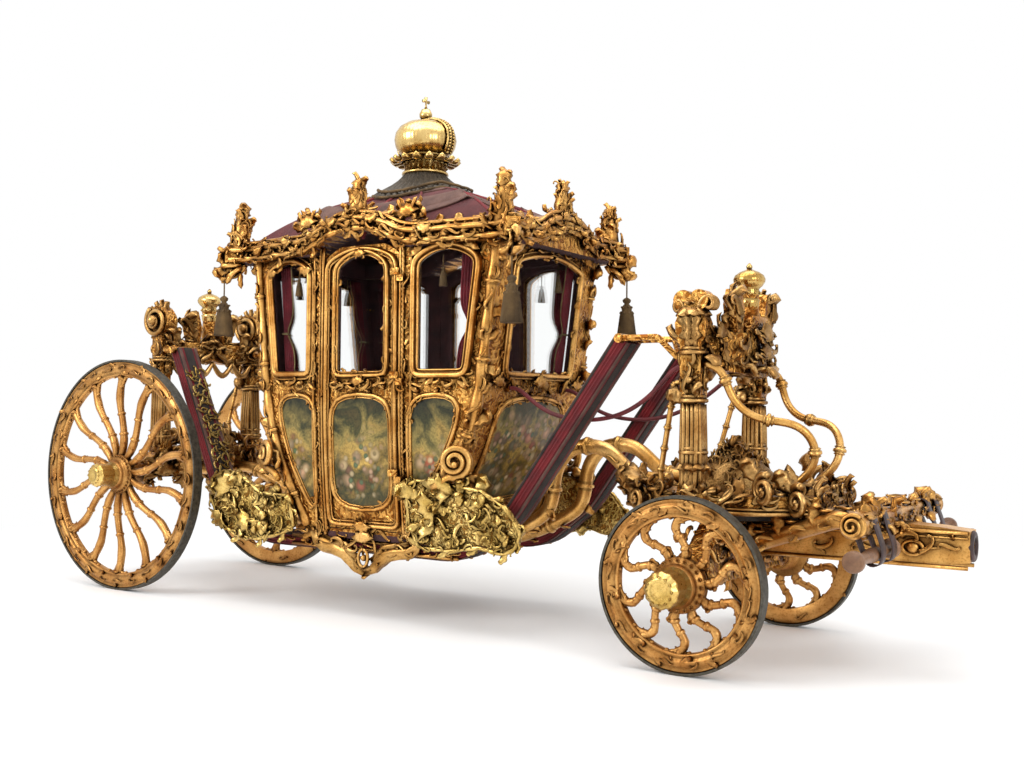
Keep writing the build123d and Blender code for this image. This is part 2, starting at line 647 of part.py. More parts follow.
def plan_profile(inset, z0):
    """The cabin seen from above: a flat door bay between canted quarters."""
    bay, end = DOOR_W / 2 + 40, EAVES_HALF_L + 40
    door_y, corner_y = SILL_HALF_W - inset, CORNER_HALF_W - inset
    right = [(-end, -corner_y), (-bay, -door_y), (bay, -door_y), (end, -corner_y)]
    left = [(x, -y) for x, y in reversed(right)]
    with BuildSketch(Plane.XY.offset(z0)) as profile:
        with BuildLine():
            Polyline(*[(BODY_X + x, y) for x, y in right + left], close=True)
        make_face()
    return profile.sketch


def cabin_form(inset, z0=BODY_Z0, z1=EAVES_Z):
    """The closed outer form of the cabin, drawn in by an inset: three views crossed."""
    with BuildPart() as form:
        extrude(side_profile(inset, z0, z1), amount=1600)
        extrude(end_profile(inset, z0, z1), amount=2600, mode=Mode.INTERSECT)
        extrude(plan_profile(inset, z0), amount=z1 - z0, mode=Mode.INTERSECT)
    return form.part


def arched(half_w, z0, spring_z, rise):
    """A door or window outline about local X = 0: straight sides under a low arch."""
    with BuildSketch() as outline:
        with BuildLine():
            Polyline((-half_w, spring_z), (-half_w, z0), (half_w, z0), (half_w, spring_z))
            ThreePointArc((half_w, spring_z), (0, spring_z + rise), (-half_w, spring_z))
        make_face()
    return outline.sketch


WALL_Z0 = BODY_Z0 + FLOOR_T
CABIN_OUT = cabin_form(0)
CABIN_IN = cabin_form(WALL)
GLASS_OUT = cabin_form((WALL - GLASS_T) / 2)
GLASS_IN = cabin_form((WALL + GLASS_T) / 2)
GLASS_Z0 = SILL_Z + 30
WINDOW_RISE = 70
QUARTER_SPRING_Z = GLASS_Z0 + GLASS_HEIGHT - WINDOW_RISE


def quarter_light(sense):
    """A quarter light's outline, its outer edge sloping with the corner post."""
    near, low, high = sense * QUARTER_X0, sense * QUARTER_X1_LOW, sense * QUARTER_X1_HIGH
    with BuildSketch() as outline:
        with BuildLine():
            Polyline((near, QUARTER_SPRING_Z), (near, GLASS_Z0), (low, GLASS_Z0), (high, QUARTER_SPRING_Z))
            ThreePointArc((high, QUARTER_SPRING_Z), ((near + high) / 2, QUARTER_SPRING_Z + WINDOW_RISE),
                          (near, QUARTER_SPRING_Z))
        make_face()
    return outline.sketch


quarter_window = quarter_light(1) + quarter_light(-1)
end_window = arched(END_GLASS_HALF_W, GLASS_Z0, GLASS_Z0 + GLASS_HEIGHT - WINDOW_RISE, WINDOW_RISE)
door_window = arched(DOOR_GLASS_HALF_W, GLASS_Z0, GLASS_Z0 + GLASS_HEIGHT - WINDOW_RISE, WINDOW_RISE)
door_outline = arched(DOOR_W / 2 - DOOR_GAP, DOOR_Z0 + DOOR_GAP, DOOR_SPRING_Z - DOOR_GAP, DOOR_RISE)
door_way = arched(DOOR_W / 2, DOOR_Z0, DOOR_SPRING_Z, DOOR_RISE)

with BuildPart() as floor:
    add(CABIN_OUT)
    with BuildSketch(Plane.XY.offset(BODY_Z0)):
        with Locations((BODY_X, 0)):
            Rectangle(3000, 2000)
    extrude(amount=FLOOR_T, mode=Mode.INTERSECT)
floor.part.label = "floor"
export_step(floor.part, "parts/floor.step")

with BuildPart() as cabin_shell:
    add(CABIN_OUT)
    add(CABIN_IN, mode=Mode.SUBTRACT)
    with BuildSketch(Plane.XY.offset(WALL_Z0)):
        with Locations((BODY_X, 0)):
            Rectangle(3000, 2000)
    extrude(amount=CORNICE_Z - WALL_Z0, mode=Mode.INTERSECT)

HINGE_X = BODY_X + DOOR_W / 2 + 3
HINGE_Y = SILL_HALF_W + HINGE_OUT
# columns: foot of the hinge, y where its leaves end inside the wall's thickness
HINGES = [(880, 580), (1490, 620), (2140, 620)]


def hinge(side, z, root_y, x0, bore_r):
    """One leaf of a door hinge with its knuckle, the leaf running from x0 to the pin."""
    out_y = HINGE_Y + HINGE_R
    with BuildPart() as leaf:
        with BuildSketch(Plane.XY.offset(z)):
            with Locations(((x0 + HINGE_X) / 2, side * HINGE_Y)):
                Rectangle(abs(x0 - HINGE_X), 2 * HINGE_R)
            with Locations((x0 + math.copysign(HINGE_LEAF / 2, x0 - HINGE_X), side * (root_y + out_y) / 2)):
                Rectangle(HINGE_LEAF, out_y - root_y)
            with Locations((HINGE_X, side * HINGE_Y)):
                Circle(HINGE_R)
                Circle(bore_r, mode=Mode.SUBTRACT)
        extrude(amount=KNUCKLE_H)
    return leaf.part


CORE_PROFILE = side_profile(POST, BODY_Z0, EAVES_Z)
for hand, side in (("right", -1), ("left", 1)):
    start = side_plane(0 if side < 0 else 800)
    with BuildPart() as side_wall:
        add(cabin_shell.part)
        extrude(CORE_PROFILE, amount=1600, mode=Mode.INTERSECT)
        with BuildSketch(Plane.XY):
            with Locations((BODY_X, side * 450)):
                Rectangle(2400, 900)
        extrude(amount=3000, mode=Mode.INTERSECT)
        with BuildSketch(start):
            with Locations((BODY_X, 0)):
                add(door_way)
                add(quarter_window)
        extrude(amount=800, mode=Mode.SUBTRACT)
        for z, root_y in HINGES:
            add(hinge(side, z, root_y, HINGE_X + 4, HINGE_PIN_R - 1))
            with BuildSketch(Plane.XY.offset(z)):
                with Locations((HINGE_X, side * HINGE_Y)):
                    Circle(HINGE_PIN_R)
            extrude(amount=2 * KNUCKLE_H)
    side_wall.part.label = f"side_wall_{hand}"
    export_step(side_wall.part, f"parts/side_wall_{hand}.step")

    with BuildPart() as door:
        add(CABIN_OUT)
        add(CABIN_IN, mode=Mode.SUBTRACT)
        with BuildSketch(start):
            with Locations((BODY_X, 0)):
                add(door_outline)
            with Locations((BODY_X, 0)):
                add(door_window, mode=Mode.SUBTRACT)
        extrude(amount=800, mode=Mode.INTERSECT)
        for z, root_y in HINGES:
            edge_x = BODY_X + DOOR_W / 2 - DOOR_GAP
            add(hinge(side, z + KNUCKLE_H + SEAT, root_y, edge_x, HINGE_PIN_R + HINGE_PIN_RUN))
    door.part.label = f"door_{hand}"
    export_step(door.part, f"parts/door_{hand}.step")

    with BuildPart() as door_glass:
        add(GLASS_OUT)
        add(GLASS_IN, mode=Mode.SUBTRACT)
        with BuildSketch(start):
            with Locations((BODY_X, 0)):
                add(door_window)
        extrude(amount=800, mode=Mode.INTERSECT)
    door_glass.part.label = f"door_glass_{hand}"
    export_step(door_glass.part, f"parts/door_glass_{hand}.step")


# ------------------------------------------------------------------ end walls, posts and glass
END_WALL_HALF_W = CORNER_HALF_W - POST
for name, sense in (("front_wall", 1), ("rear_wall", -1)):
    with BuildPart() as end_wall:
        add(cabin_shell.part)
        with BuildSketch(Plane.XY):
            with Locations((BODY_X + sense * 700, 0)):
                Rectangle(1400, 2 * END_WALL_HALF_W)
        extrude(amount=3000, mode=Mode.INTERSECT)
        extrude(CORE_PROFILE, amount=1600, mode=Mode.SUBTRACT)
        with BuildSketch(end_plane(BODY_X + (0 if sense > 0 else -1300))):
            add(end_window)
        extrude(amount=1300, mode=Mode.SUBTRACT)
        if sense > 0:
            with BuildSketch(end_plane(SWAY_BOSS_X)):
                with Locations((SWAY_BOSS_Y, SWAY_BOSS_Z), (-SWAY_BOSS_Y, SWAY_BOSS_Z)):
                    Circle(SWAY_BOSS_R)
            extrude(amount=-60)
    end_wall.part.label = name
    export_step(end_wall.part, f"parts/{name}.step")

with BuildPart() as corner_posts:
    add(cabin_shell.part)
    extrude(CORE_PROFILE, amount=1600, mode=Mode.SUBTRACT)
    with BuildSketch(Plane.XY):
        with Locations((BODY_X, 0)):
            Rectangle(2800, 2 * END_WALL_HALF_W)
    extrude(amount=3000, mode=Mode.SUBTRACT)
corner_posts.part.label = "corner_posts"
export_step(corner_posts.part, "parts/corner_posts.step")

with BuildPart() as quarter_glass:
    add(GLASS_OUT)
    add(GLASS_IN, mode=Mode.SUBTRACT)
    with BuildSketch(side_plane(800)):
        with Locations((BODY_X, 0)):
            add(quarter_window)
    extrude(amount=1600, mode=Mode.INTERSECT)
with BuildPart() as fixed_glass:
    add(GLASS_OUT)
    add(GLASS_IN, mode=Mode.SUBTRACT)
    with BuildSketch(end_plane(BODY_X - 1300)):
        add(end_window)
    extrude(amount=2600, mode=Mode.INTERSECT)
    add(quarter_glass.part)
fixed_glass.part.label = "fixed_glass"
export_step(fixed_glass.part, "parts/fixed_glass.step")

# gilt shells over the cabin's lower corners, each with a lug that reaches the strap behind it
SHELL_Y = 622
SHELL_T = 40
LUG_Y = STRAP_Y + STRAP_W / 2 + SEAT
with BuildPart() as strap_shells:
    for side in (-1, 1):
        outer = max(side * SHELL_Y, side * (SHELL_Y + SHELL_T))
        with BuildSketch(side_plane(outer)):
            with BuildLine():
                Polyline((150, 870), (230, 905), (520, 880), (700, 860), (880, 770), (985, 640), (950, 540),
                         (860, 500), (700, 545), (480, 500), (250, 520), (165, 640), close=True)
            make_face()
            with BuildLine():
                Polyline((-1600, 850), (-1450, 900), (-1300, 870), (-1120, 760), (-860, 760), (-810, 560),
                         (-930, 500), (-1150, 450), (-1360, 460), (-1540, 560), (-1620, 720), close=True)
            make_face()
        extrude(amount=SHELL_T)
        with BuildSketch(side_plane(max(side * LUG_Y, side * SHELL_Y))):
            with Locations((690, 620), (-1400, 590)):
                Rectangle(200, 110)
        extrude(amount=SHELL_Y - LUG_Y)
strap_shells.part.label = "strap_shells"
export_step(strap_shells.part, "parts/strap_shells.step")

PENDANT_Y = STRAP_Y + STRAP_W / 2 + 10
PENDANT_T = 30
with BuildPart() as door_pendants:
    for side in (-1, 1):
        with BuildSketch(side_plane(max(side * PENDANT_Y, side * (PENDANT_Y + PENDANT_T)))):
            with BuildLine():
                Line((BODY_X - 410, BODY_Z0), (BODY_X + 410, BODY_Z0))
                ThreePointArc((BODY_X + 410, BODY_Z0), (BODY_X + 300, 420), (BODY_X + 130, 390))
                ThreePointArc((BODY_X + 130, 390), (BODY_X, 290), (BODY_X - 130, 390))
                ThreePointArc((BODY_X - 130, 390), (BODY_X - 300, 420), (BODY_X - 410, BODY_Z0))
            make_face()
        extrude(amount=PENDANT_T)
door_pendants.part.label = "door_pendants"
export_step(door_pendants.part, "parts/door_pendants.step")

# ------------------------------------------------------------------ cornice and roof
BAY = DOOR_W / 2 + 60
ARCH_HALF_W = 430
ARCH_RISE = 120
CLEAR_HALF_W = 400           # clearance arch cut over each door's swing
CLEAR_RISE = 128
with BuildPart() as cornice:
    with BuildSketch(Plane.XY.offset(CORNICE_Z)):
        with BuildLine():
            quarter = [(BAY, SILL_HALF_W + CORNICE_OUT - 10), (1060, CORNER_HALF_W + CORNICE_OUT),
                       (TIP_X - 70, TIP_Y), (TIP_X, TIP_Y - 60), (1160, 560), (1150, 300)]
            loop = quarter + [(x, -y) for x, y in reversed(quarter)]
            loop += [(-x, -y) for x, y in quarter] + [(-x, y) for x, y in reversed(quarter)]
            Polyline(*[(BODY_X + x, y) for x, y in loop], close=True)
        make_face()
    extrude(amount=CORNICE_H)
    with BuildSketch(side_plane(SILL_HALF_W + CORNICE_OUT - 10)):
        with BuildLine():
            top = CORNICE_Z + CORNICE_H
            ThreePointArc((BODY_X - ARCH_HALF_W, top - 20), (BODY_X, top + ARCH_RISE), (BODY_X + ARCH_HALF_W, top - 20))
            Line((BODY_X + ARCH_HALF_W, top - 20), (BODY_X - ARCH_HALF_W, top - 20))
        make_face()
    extrude(amount=2 * (SILL_HALF_W + CORNICE_OUT - 10))
    with BuildSketch(end_plane(BODY_X - 1150)):
        with BuildLine():
            ThreePointArc((-ARCH_HALF_W, top - 20), (0, top + ARCH_RISE), (ARCH_HALF_W, top - 20))
            Line((ARCH_HALF_W, top - 20), (-ARCH_HALF_W, top - 20))
        make_face()
    extrude(amount=2 * 1150)
    with BuildSketch(side_plane(900)):
        with Locations((BODY_X, 0)):
            add(arched(CLEAR_HALF_W, CORNICE_Z - 50, CORNICE_Z, CLEAR_RISE))
    extrude(amount=1800, mode=Mode.SUBTRACT)
    with BuildSketch(Plane.XY.offset(CORNICE_Z - 10)):
        with BuildLine():
            half = EAVES_HALF_L - POST + 10
            inner_y = SILL_HALF_W - POST - 20
            Polyline((BODY_X - half, -480), (BODY_X - BAY, -inner_y), (BODY_X + BAY, -inner_y),
                     (BODY_X + half, -480), (BODY_X + half, 480), (BODY_X + BAY, inner_y),
                     (BODY_X - BAY, inner_y), (BODY_X - half, 480), close=True)
        make_face()
    extrude(amount=600, mode=Mode.SUBTRACT)
cornice.part.label = "cornice"
export_step(cornice.part, "parts/cornice.step")

ROOF_Z0 = CORNICE_Z + CORNICE_H - 50


def roof_form(inset):
    """A low domical vault: two arched extrusions crossed."""
    top = ROOF_TOP_Z - inset
    with BuildPart() as form:
        with BuildSketch(side_plane(ROOF_HALF_W)):
            half = ROOF_HALF_L - inset
            with BuildLine():
                ThreePointArc((BODY_X - half, ROOF_Z0), (BODY_X, top), (BODY_X + half, ROOF_Z0))
                Line((BODY_X + half, ROOF_Z0), (BODY_X - half, ROOF_Z0))
            make_face()
        extrude(amount=2 * ROOF_HALF_W)
        with BuildSketch(end_plane(BODY_X - ROOF_HALF_L)):
            half = ROOF_HALF_W - inset
            with BuildLine():
                ThreePointArc((-half, ROOF_Z0), (0, top), (half, ROOF_Z0))
                Line((half, ROOF_Z0), (-half, ROOF_Z0))
            make_face()
        extrude(amount=2 * ROOF_HALF_L, mode=Mode.INTERSECT)
    return form.part


ROOF_OUT = roof_form(0)

with BuildPart() as roof:
    add(ROOF_OUT)
    add(roof_form(ROOF_T), mode=Mode.SUBTRACT)
    add(cornice.part, mode=Mode.SUBTRACT)
roof_vault = roof.part.solids().sort_by(SortBy.VOLUME)[-1]
roof_vault.label = "roof"
export_step(roof_vault, "parts/roof.step")

with BuildPart() as roof_cone:
    with BuildSketch(side_plane(0)):
        with BuildLine():
            Polyline((BODY_X, 2700), (BODY_X + CONE_R, 2700), (BODY_X + CONE_R, 2805), (BODY_X + 275, 2843),
                     (BODY_X + 180, 2912), (BODY_X + CONE_TOP_R, CONE_TOP_Z), (BODY_X, CONE_TOP_Z), close=True)
        make_face()
    revolve(axis=Axis((BODY_X, 0, 0), (0, 0, 1)))
    add(ROOF_OUT, mode=Mode.SUBTRACT)
roof_cone.part.label = "roof_cone"
export_step(roof_cone.part, "parts/roof_cone.step")

# crown outline up to the globe's foot, columns: radius, height over the cone's top
CROWN = [
    (0, 0), (150, 0), (162, 14), (146, 34), (150, 80), (166, 98), (240, 142), (250, 156), (205, 162), (188, 172),
]
BALL_Z = GLOBE_TOP_Z - 4
CROSS_T = 12
CROSS_ARM_Z = CROSS_TOP_Z - 26
with BuildPart() as roof_crown:
    with BuildSketch(side_plane(0)):
        with BuildLine():
            outline = Polyline(*[(BODY_X + r, CONE_TOP_Z + z) for r, z in CROWN])
            ThreePointArc(outline @ 1, (BODY_X + GLOBE_R, 3205), (BODY_X + 176, 3280))
            ThreePointArc((BODY_X + 176, 3280), (BODY_X + 95, 3327), (BODY_X, GLOBE_TOP_Z))
            Line((BODY_X, GLOBE_TOP_Z), (BODY_X, CONE_TOP_Z))
        make_face()
    revolve(axis=Axis((BODY_X, 0, 0), (0, 0, 1)))
    with BuildSketch(side_plane(0)):
        with BuildLine():
            Line((BODY_X, BALL_Z), (BODY_X, BALL_Z + 2 * BALL_R))
            ThreePointArc((BODY_X, BALL_Z + 2 * BALL_R), (BODY_X + BALL_R, BALL_Z + BALL_R), (BODY_X, BALL_Z))
        make_face()
    revolve(axis=Axis((BODY_X, 0, 0), (0, 0, 1)))
    with BuildSketch(end_plane(BODY_X - CROSS_T / 2)):
        with Locations((0, (BALL_Z + BALL_R + CROSS_TOP_Z) / 2)):
            Rectangle(CROSS_T, CROSS_TOP_Z - BALL_Z - BALL_R)
        with Locations((0, CROSS_ARM_Z)):
            Rectangle(52, CROSS_T)
    extrude(amount=CROSS_T)
roof_crown.part.label = "roof_crown"
export_step(roof_crown.part, "parts/roof_crown.step")

CORNICE_TOP = CORNICE_Z + CORNICE_H
FINIAL_T = 56
# columns: x from the cabin's middle, y, foot height, height, half width, outline turned to face +X
FINIALS = [
    (sx * 1100, sy * 655, CORNICE_TOP, 250, 60, True) for sx in (-1, 1) for sy in (-1, 1)
]
FINIALS += [(0, sy * 700, CORNICE_TOP + ARCH_RISE - 12, 170, 56, False) for sy in (-1, 1)]
FINIALS += [(sx * 1110, 0, CORNICE_TOP + ARCH_RISE - 12, 185, 56, True) for sx in (-1, 1)]
# leaf outline, columns: share of the half width, share of the height
LEAF = [(0.55, 0.0), (0.4, 0.12), (1.0, 0.34), (0.6, 0.5), (0.85, 0.68), (0.35, 0.8), (0.0, 1.0)]
with BuildPart() as finials:
    for x, y, foot_z, height, half_w, across in FINIALS:
        plane = end_plane(BODY_X + x - FINIAL_T / 2) if across else side_plane(y + FINIAL_T / 2)
        middle = y if across else BODY_X + x
        with BuildSketch(plane):
            with BuildLine():
                Polyline(*[(middle + w * half_w, foot_z + h * height) for w, h in LEAF],
                         *[(middle - w * half_w, foot_z + h * height) for w, h in reversed(LEAF[:-1])],
                         close=True)
            make_face()
        extrude(amount=FINIAL_T)
    add(cornice.part, mode=Mode.SUBTRACT)
finials.part.label = "finials"
export_step(finials.part, "parts/finials.step")

# ------------------------------------------------------------------ inside the cabin
BENCH_FRONT = 330            # from the cabin's middle to a bench's front edge
BENCH_TOP = 890
CUSHION_T = 95
CUSHION_HALF_W = 520
BACK_T = 85
BACK_TOP = 1490
LINING = cabin_form(WALL + SEAT)
LINING_PROFILE = side_profile(WALL + SEAT + BACK_T, BODY_Z0, EAVES_Z)


def block(x0, x1, half_w, z0, z1):
    """Boxes at both ends of the cabin, mirrored about its middle."""
    with BuildPart() as both:
        with BuildSketch(Plane.XY.offset(z0)):
            for sense in (-1, 1):
                with Locations((BODY_X + sense * (x0 + x1) / 2, 0)):
                    Rectangle(x1 - x0, 2 * half_w)
        extrude(amount=z1 - z0)
    return both.part


with BuildPart() as benches:
    add(block(BENCH_FRONT, 1100, CUSHION_HALF_W, WALL_Z0, BENCH_TOP))
    add(LINING, mode=Mode.INTERSECT)
benches.part.label = "benches"
export_step(benches.part, "parts/benches.step")

with BuildPart() as seat_cushions:
    add(block(BENCH_FRONT - 20, 1100, CUSHION_HALF_W - 10, BENCH_TOP + SEAT, BENCH_TOP + CUSHION_T))
    add(LINING, mode=Mode.INTERSECT)
seat_cushions.part.label = "seat_cushions"
export_step(seat_cushions.part, "parts/seat_cushions.step")

with BuildPart() as back_cushions:
    add(block(BENCH_FRONT, 1100, CUSHION_HALF_W - 60, BENCH_TOP + CUSHION_T + SEAT, BACK_TOP))
    add(LINING, mode=Mode.INTERSECT)
    extrude(LINING_PROFILE, amount=1600, mode=Mode.SUBTRACT)
back_cushions.part.label = "back_cushions"
export_step(back_cushions.part, "parts/back_cushions.step")

CURTAIN_T = 34
CURTAIN_W = 110
CURTAIN_Z0 = GLASS_Z0 - 10
CURTAIN_Z1 = CORNICE_Z - 30
with BuildPart() as curtains:
    add(LINING)
    add(cabin_form(WALL + SEAT + CURTAIN_T), mode=Mode.SUBTRACT)
    with BuildSketch(Plane.XY.offset(CURTAIN_Z0)):
        for sx in (-1, 1):
            for sy in (-1, 1):
                with Locations((BODY_X + sx * (QUARTER_X1_LOW - CURTAIN_W / 2 - 10), sy * 550)):
                    Rectangle(CURTAIN_W, 200)
                with Locations((BODY_X + sx * 900, sy * (END_GLASS_HALF_W - CURTAIN_W / 2 + 20))):
                    Rectangle(260, CURTAIN_W)
    extrude(amount=CURTAIN_Z1 - CURTAIN_Z0, mode=Mode.INTERSECT)
curtains.part.label = "curtains"
export_step(curtains.part, "parts/curtains.step")

# ------------------------------------------------------------------ tassels and cords
# tassel outline, columns: radius, share of the length down from its top
TASSEL = [(12, 0.0), (26, 0.06), (16, 0.16), (30, 0.3), (38, 0.36), (TASSEL_R, 0.98), (TASSEL_R - 8, 1.0)]
TASSEL_SPOTS = [(sx * TASSEL_X, sy * TASSEL_Y) for sx in (-1, 1) for sy in (-1, 1)]
with BuildPart() as tassels:
    for x, y in TASSEL_SPOTS:
        with BuildSketch(Plane(origin=(BODY_X + x, y, TASSEL_TOP_Z), x_dir=(1, 0, 0), z_dir=(0, -1, 0))):
            with BuildLine():
                Polyline((0, 0), *[(r, -s * TASSEL_L) for r, s in TASSEL], (0, -TASSEL_L), close=True)
            make_face()
        revolve(axis=Axis((BODY_X + x, y, 0), (0, 0, 1)))
tassels.part.label = "tassels"
export_step(tassels.part, "parts/tassels.step")

with BuildPart() as tassel_cords:
    with BuildSketch(Plane.XY.offset(TASSEL_TOP_Z)):
        with Locations([(BODY_X + x, y) for x, y in TASSEL_SPOTS]):
            Circle(TASSEL_CORD_R)
    extrude(amount=CORNICE_Z - TASSEL_TOP_Z)
tassel_cords.part.label = "tassel_cords"
export_step(tassel_cords.part, "parts/tassel_cords.step")

# check cords that limit the cabin's sway, from bosses on the front wall to the front standards
# columns: x, y on the left, z
SWAY_ROUTE = [
    (SWAY_BOSS_X, SWAY_BOSS_Y, SWAY_BOSS_Z), (745, 330, SWAY_BOSS_Z), (850, 332, 1395),
    (970, 334, 1325), (1120, 338, 1290), (1300, 342, 1285), (1470, 352, 1320), (1620, 374, 1395),
    (1740, 402, 1490), (1845, 430, 1590), (FRONT_STANDARD_X - FRONT_SHOULDER, 430, 1590),
]


def bend_radii(points, share=0.45):
    """The largest arcs that fit: a share of the shorter run over the tangent of half the turn."""
    radii = []
    for before, here, after in zip(points, points[1:], points[2:]):
        run_in, run_out = Vector(*here) - Vector(*before), Vector(*after) - Vector(*here)
        turn = math.radians(run_in.get_angle(run_out))
        radii.append(share * min(run_in.length, run_out.length) / math.tan(turn / 2))
    return radii


sway_radii = bend_radii(SWAY_ROUTE)
print("sway cord bends, mm:", [round(r) for r in sway_radii])
for hand, side in (("right", -1), ("left", 1)):
    cord = rod([(x, side * y, z) for x, y, z in SWAY_ROUTE], sway_radii, SWAY_CORD_R)
    cord.label = f"sway_cord_{hand}"
    export_step(cord, f"parts/sway_cord_{hand}.step")

# ------------------------------------------------------------------ fore carriage
POLE_HALF_W = 78
POLE_TOP_Z = SPLINTER_Z - SPLINTER_H / 2
BED_FRONT_X = FRONT_AXLE_X + FRONT_BED_HALF_X
with BuildPart() as pole_housing:
    with BuildSketch(side_plane(POLE_HALF_W)):
        with BuildLine():
            Polyline((BED_FRONT_X, 540), (2500, 560), (3180, 575), (POLE_END_X, 590), (POLE_END_X, 748),
                     (3160, 762), (3010, POLE_TOP_Z), (2850, POLE_TOP_Z), (2600, 725),
                     (BED_FRONT_X, 690), close=True)
        make_face()
    extrude(amount=2 * POLE_HALF_W)
    with BuildSketch(end_plane(POLE_END_X)):
        with Locations((0, POLE_SOCKET_Z)):
            Circle(POLE_BORE_R)
    extrude(amount=-POLE_BORE_L, mode=Mode.SUBTRACT)
pole_housing.part.label = "pole_housing"
export_step(pole_housing.part, "parts/pole_housing.step")

with BuildPart() as splinter_bar:
    with BuildSketch(side_plane(SPLINTER_HALF_Y)):
        with Locations((SPLINTER_X, SPLINTER_Z)):
            RectangleRounded(SPLINTER_W, SPLINTER_H, 22)
    extrude(amount=2 * SPLINTER_HALF_Y)
    for side in (-1, 1):
        with BuildSketch(side_plane(side * (SPLINTER_HALF_Y - 60) + 65)):
            with Locations((SPLINTER_X, SPLINTER_Z + 4)):
                Circle(SPLINTER_H / 2 + 16)
        extrude(amount=130)
splinter_bar.part.label = "splinter_bar"
export_step(splinter_bar.part, "parts/splinter_bar.step")

FUTCHELL_ROUTE = [
    (BED_FRONT_X, 230, 630), (BED_FRONT_X + 130, 230, 630),
    (SPLINTER_X - SPLINTER_W / 2 - 120, 520, SPLINTER_Z), (SPLINTER_X - SPLINTER_W / 2, 520, SPLINTER_Z),
]
arms = [rod([(x, side * y, z) for x, y, z in FUTCHELL_ROUTE], 110, 42, 6) for side in (-1, 1)]
with BuildPart() as futchells:
    add(arms)
futchells.part.label = "futchells"
export_step(futchells.part, "parts/futchells.step")

# swingletree outline, columns: share of the length, radius
SWINGLETREE = [(0.0, 34), (0.02, SWING_KNOB_R), (0.08, SWING_KNOB_R), (0.1, 34), (0.14, SWING_R)]
with BuildPart() as swingletrees:
    y0, y1 = SWING_Y
    length = y1 - y0
    profile = [(y0 + s * length, r) for s, r in SWINGLETREE]
    profile += [(y1 - s * length, r) for s, r in reversed(SWINGLETREE)]
    for side in (-1, 1):
        with BuildSketch(Plane(origin=(SWING_X, 0, SWING_Z), x_dir=(0, 1, 0), z_dir=(1, 0, 0))):
            with BuildLine():
                Polyline((side * y0, 0), *[(side * y, r) for y, r in profile], (side * y1, 0), close=True)
            make_face()
        revolve(axis=Axis((SWING_X, 0, SWING_Z), (0, 1, 0)))
swingletrees.part.label = "swingletrees"
export_step(swingletrees.part, "parts/swingletrees.step")

# leather loops that hang the swingletrees from the splinter bar
LOOP_W = 42
LOOP_T = 8
half_w, half_h = SPLINTER_W / 2 + SEAT, SPLINTER_H / 2 + SEAT
with BuildPart() as trace_loops:
    inner = [(SPLINTER_X - half_w, SPLINTER_Z - half_h), (SPLINTER_X - half_w, SPLINTER_Z + half_h),
             (SPLINTER_X + half_w, SPLINTER_Z + half_h), (SWING_X + SWING_R + 8, SWING_Z + 20),
             (SWING_X + SWING_R + 4, SWING_Z - SWING_R - SEAT), (SWING_X - SWING_R, SWING_Z - SWING_R - SEAT)]
    for side in (-1, 1):
        for y in LOOP_Y:
            with BuildSketch(side_plane(side * y + LOOP_W / 2)):
                with BuildLine():
                    Polyline(*inner, close=True)
                make_face()
                offset(amount=LOOP_T, kind=Kind.INTERSECTION)
                with BuildLine():
                    Polyline(*inner, close=True)
                make_face(mode=Mode.SUBTRACT)
            extrude(amount=LOOP_W)
trace_loops.part.label = "trace_loops"
export_step(trace_loops.part, "parts/trace_loops.step")
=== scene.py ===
import bpy
import math
import numpy as np
from mathutils import Matrix, Vector


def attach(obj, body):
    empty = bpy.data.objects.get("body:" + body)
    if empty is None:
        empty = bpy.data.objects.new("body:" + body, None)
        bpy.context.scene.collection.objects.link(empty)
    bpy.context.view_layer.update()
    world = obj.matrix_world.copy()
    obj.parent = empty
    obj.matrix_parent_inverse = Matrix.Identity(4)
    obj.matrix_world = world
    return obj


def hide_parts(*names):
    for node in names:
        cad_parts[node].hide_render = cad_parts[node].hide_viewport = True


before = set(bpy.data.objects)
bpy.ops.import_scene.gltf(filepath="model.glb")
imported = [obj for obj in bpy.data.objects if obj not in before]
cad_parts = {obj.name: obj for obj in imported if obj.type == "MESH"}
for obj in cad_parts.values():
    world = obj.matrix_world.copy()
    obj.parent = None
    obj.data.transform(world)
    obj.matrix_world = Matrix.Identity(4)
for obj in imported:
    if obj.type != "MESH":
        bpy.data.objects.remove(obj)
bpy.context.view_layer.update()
rng = np.random.default_rng(11)
scene = bpy.context.scene
X, Y, Z = np.eye(3)

# ---------------------------------------------------------------- sizes shared with the frame (m)
BX = -.255                                          # middle of the cabin
RAX, FAX, RR, FR, WY = -2.45, 2.04, .845, .455, .79   # axles' x, wheels' radii, their middle's y
BODY_Z0, SILL, EAVES = .4983, 1.53, 2.39            # heights of the cabin
GLASS_Z0, GLASS_MID, SPRING, RISE = 1.56, 1.95, 2.26, .07   # heights of its windows
FSX, RSX, SY = 1.96, -2.43, .455                    # standards
PLAT, REAR_PLAT = .9, 1.02                         # tops of the platforms
STRAP_Y, STRAP_HALF = .45, .083
POLE_Z, POLE_SIDE = .668, .084                      # pole housing
BAR_X, BAR_Z = 2.92, .812                           # splinter bar
PERCH_R = .044
VINE = "s leaf c back"                              # the commonest run of carving


# ---------------------------------------------------------------- materials
def new_mat(name):
    m = bpy.data.materials.new(name)
    m.use_nodes = True
    return m, m.node_tree, m.node_tree.nodes["Principled BSDF"]


def setup(n, **props):
    """Sets a node's own properties, and its inputs by name with _ for a space."""
    for k, v in props.items():
        if hasattr(n, k):
            setattr(n, k, v)
        else:
            n.inputs[k.replace("_", " ")].default_value = v
    return n


def node(nt, kind, links=(), **props):
    n = setup(nt.nodes.new("ShaderNode" + kind), **props)
    for sock, src in links:
        nt.links.new(src, n.inputs[sock])
    return n


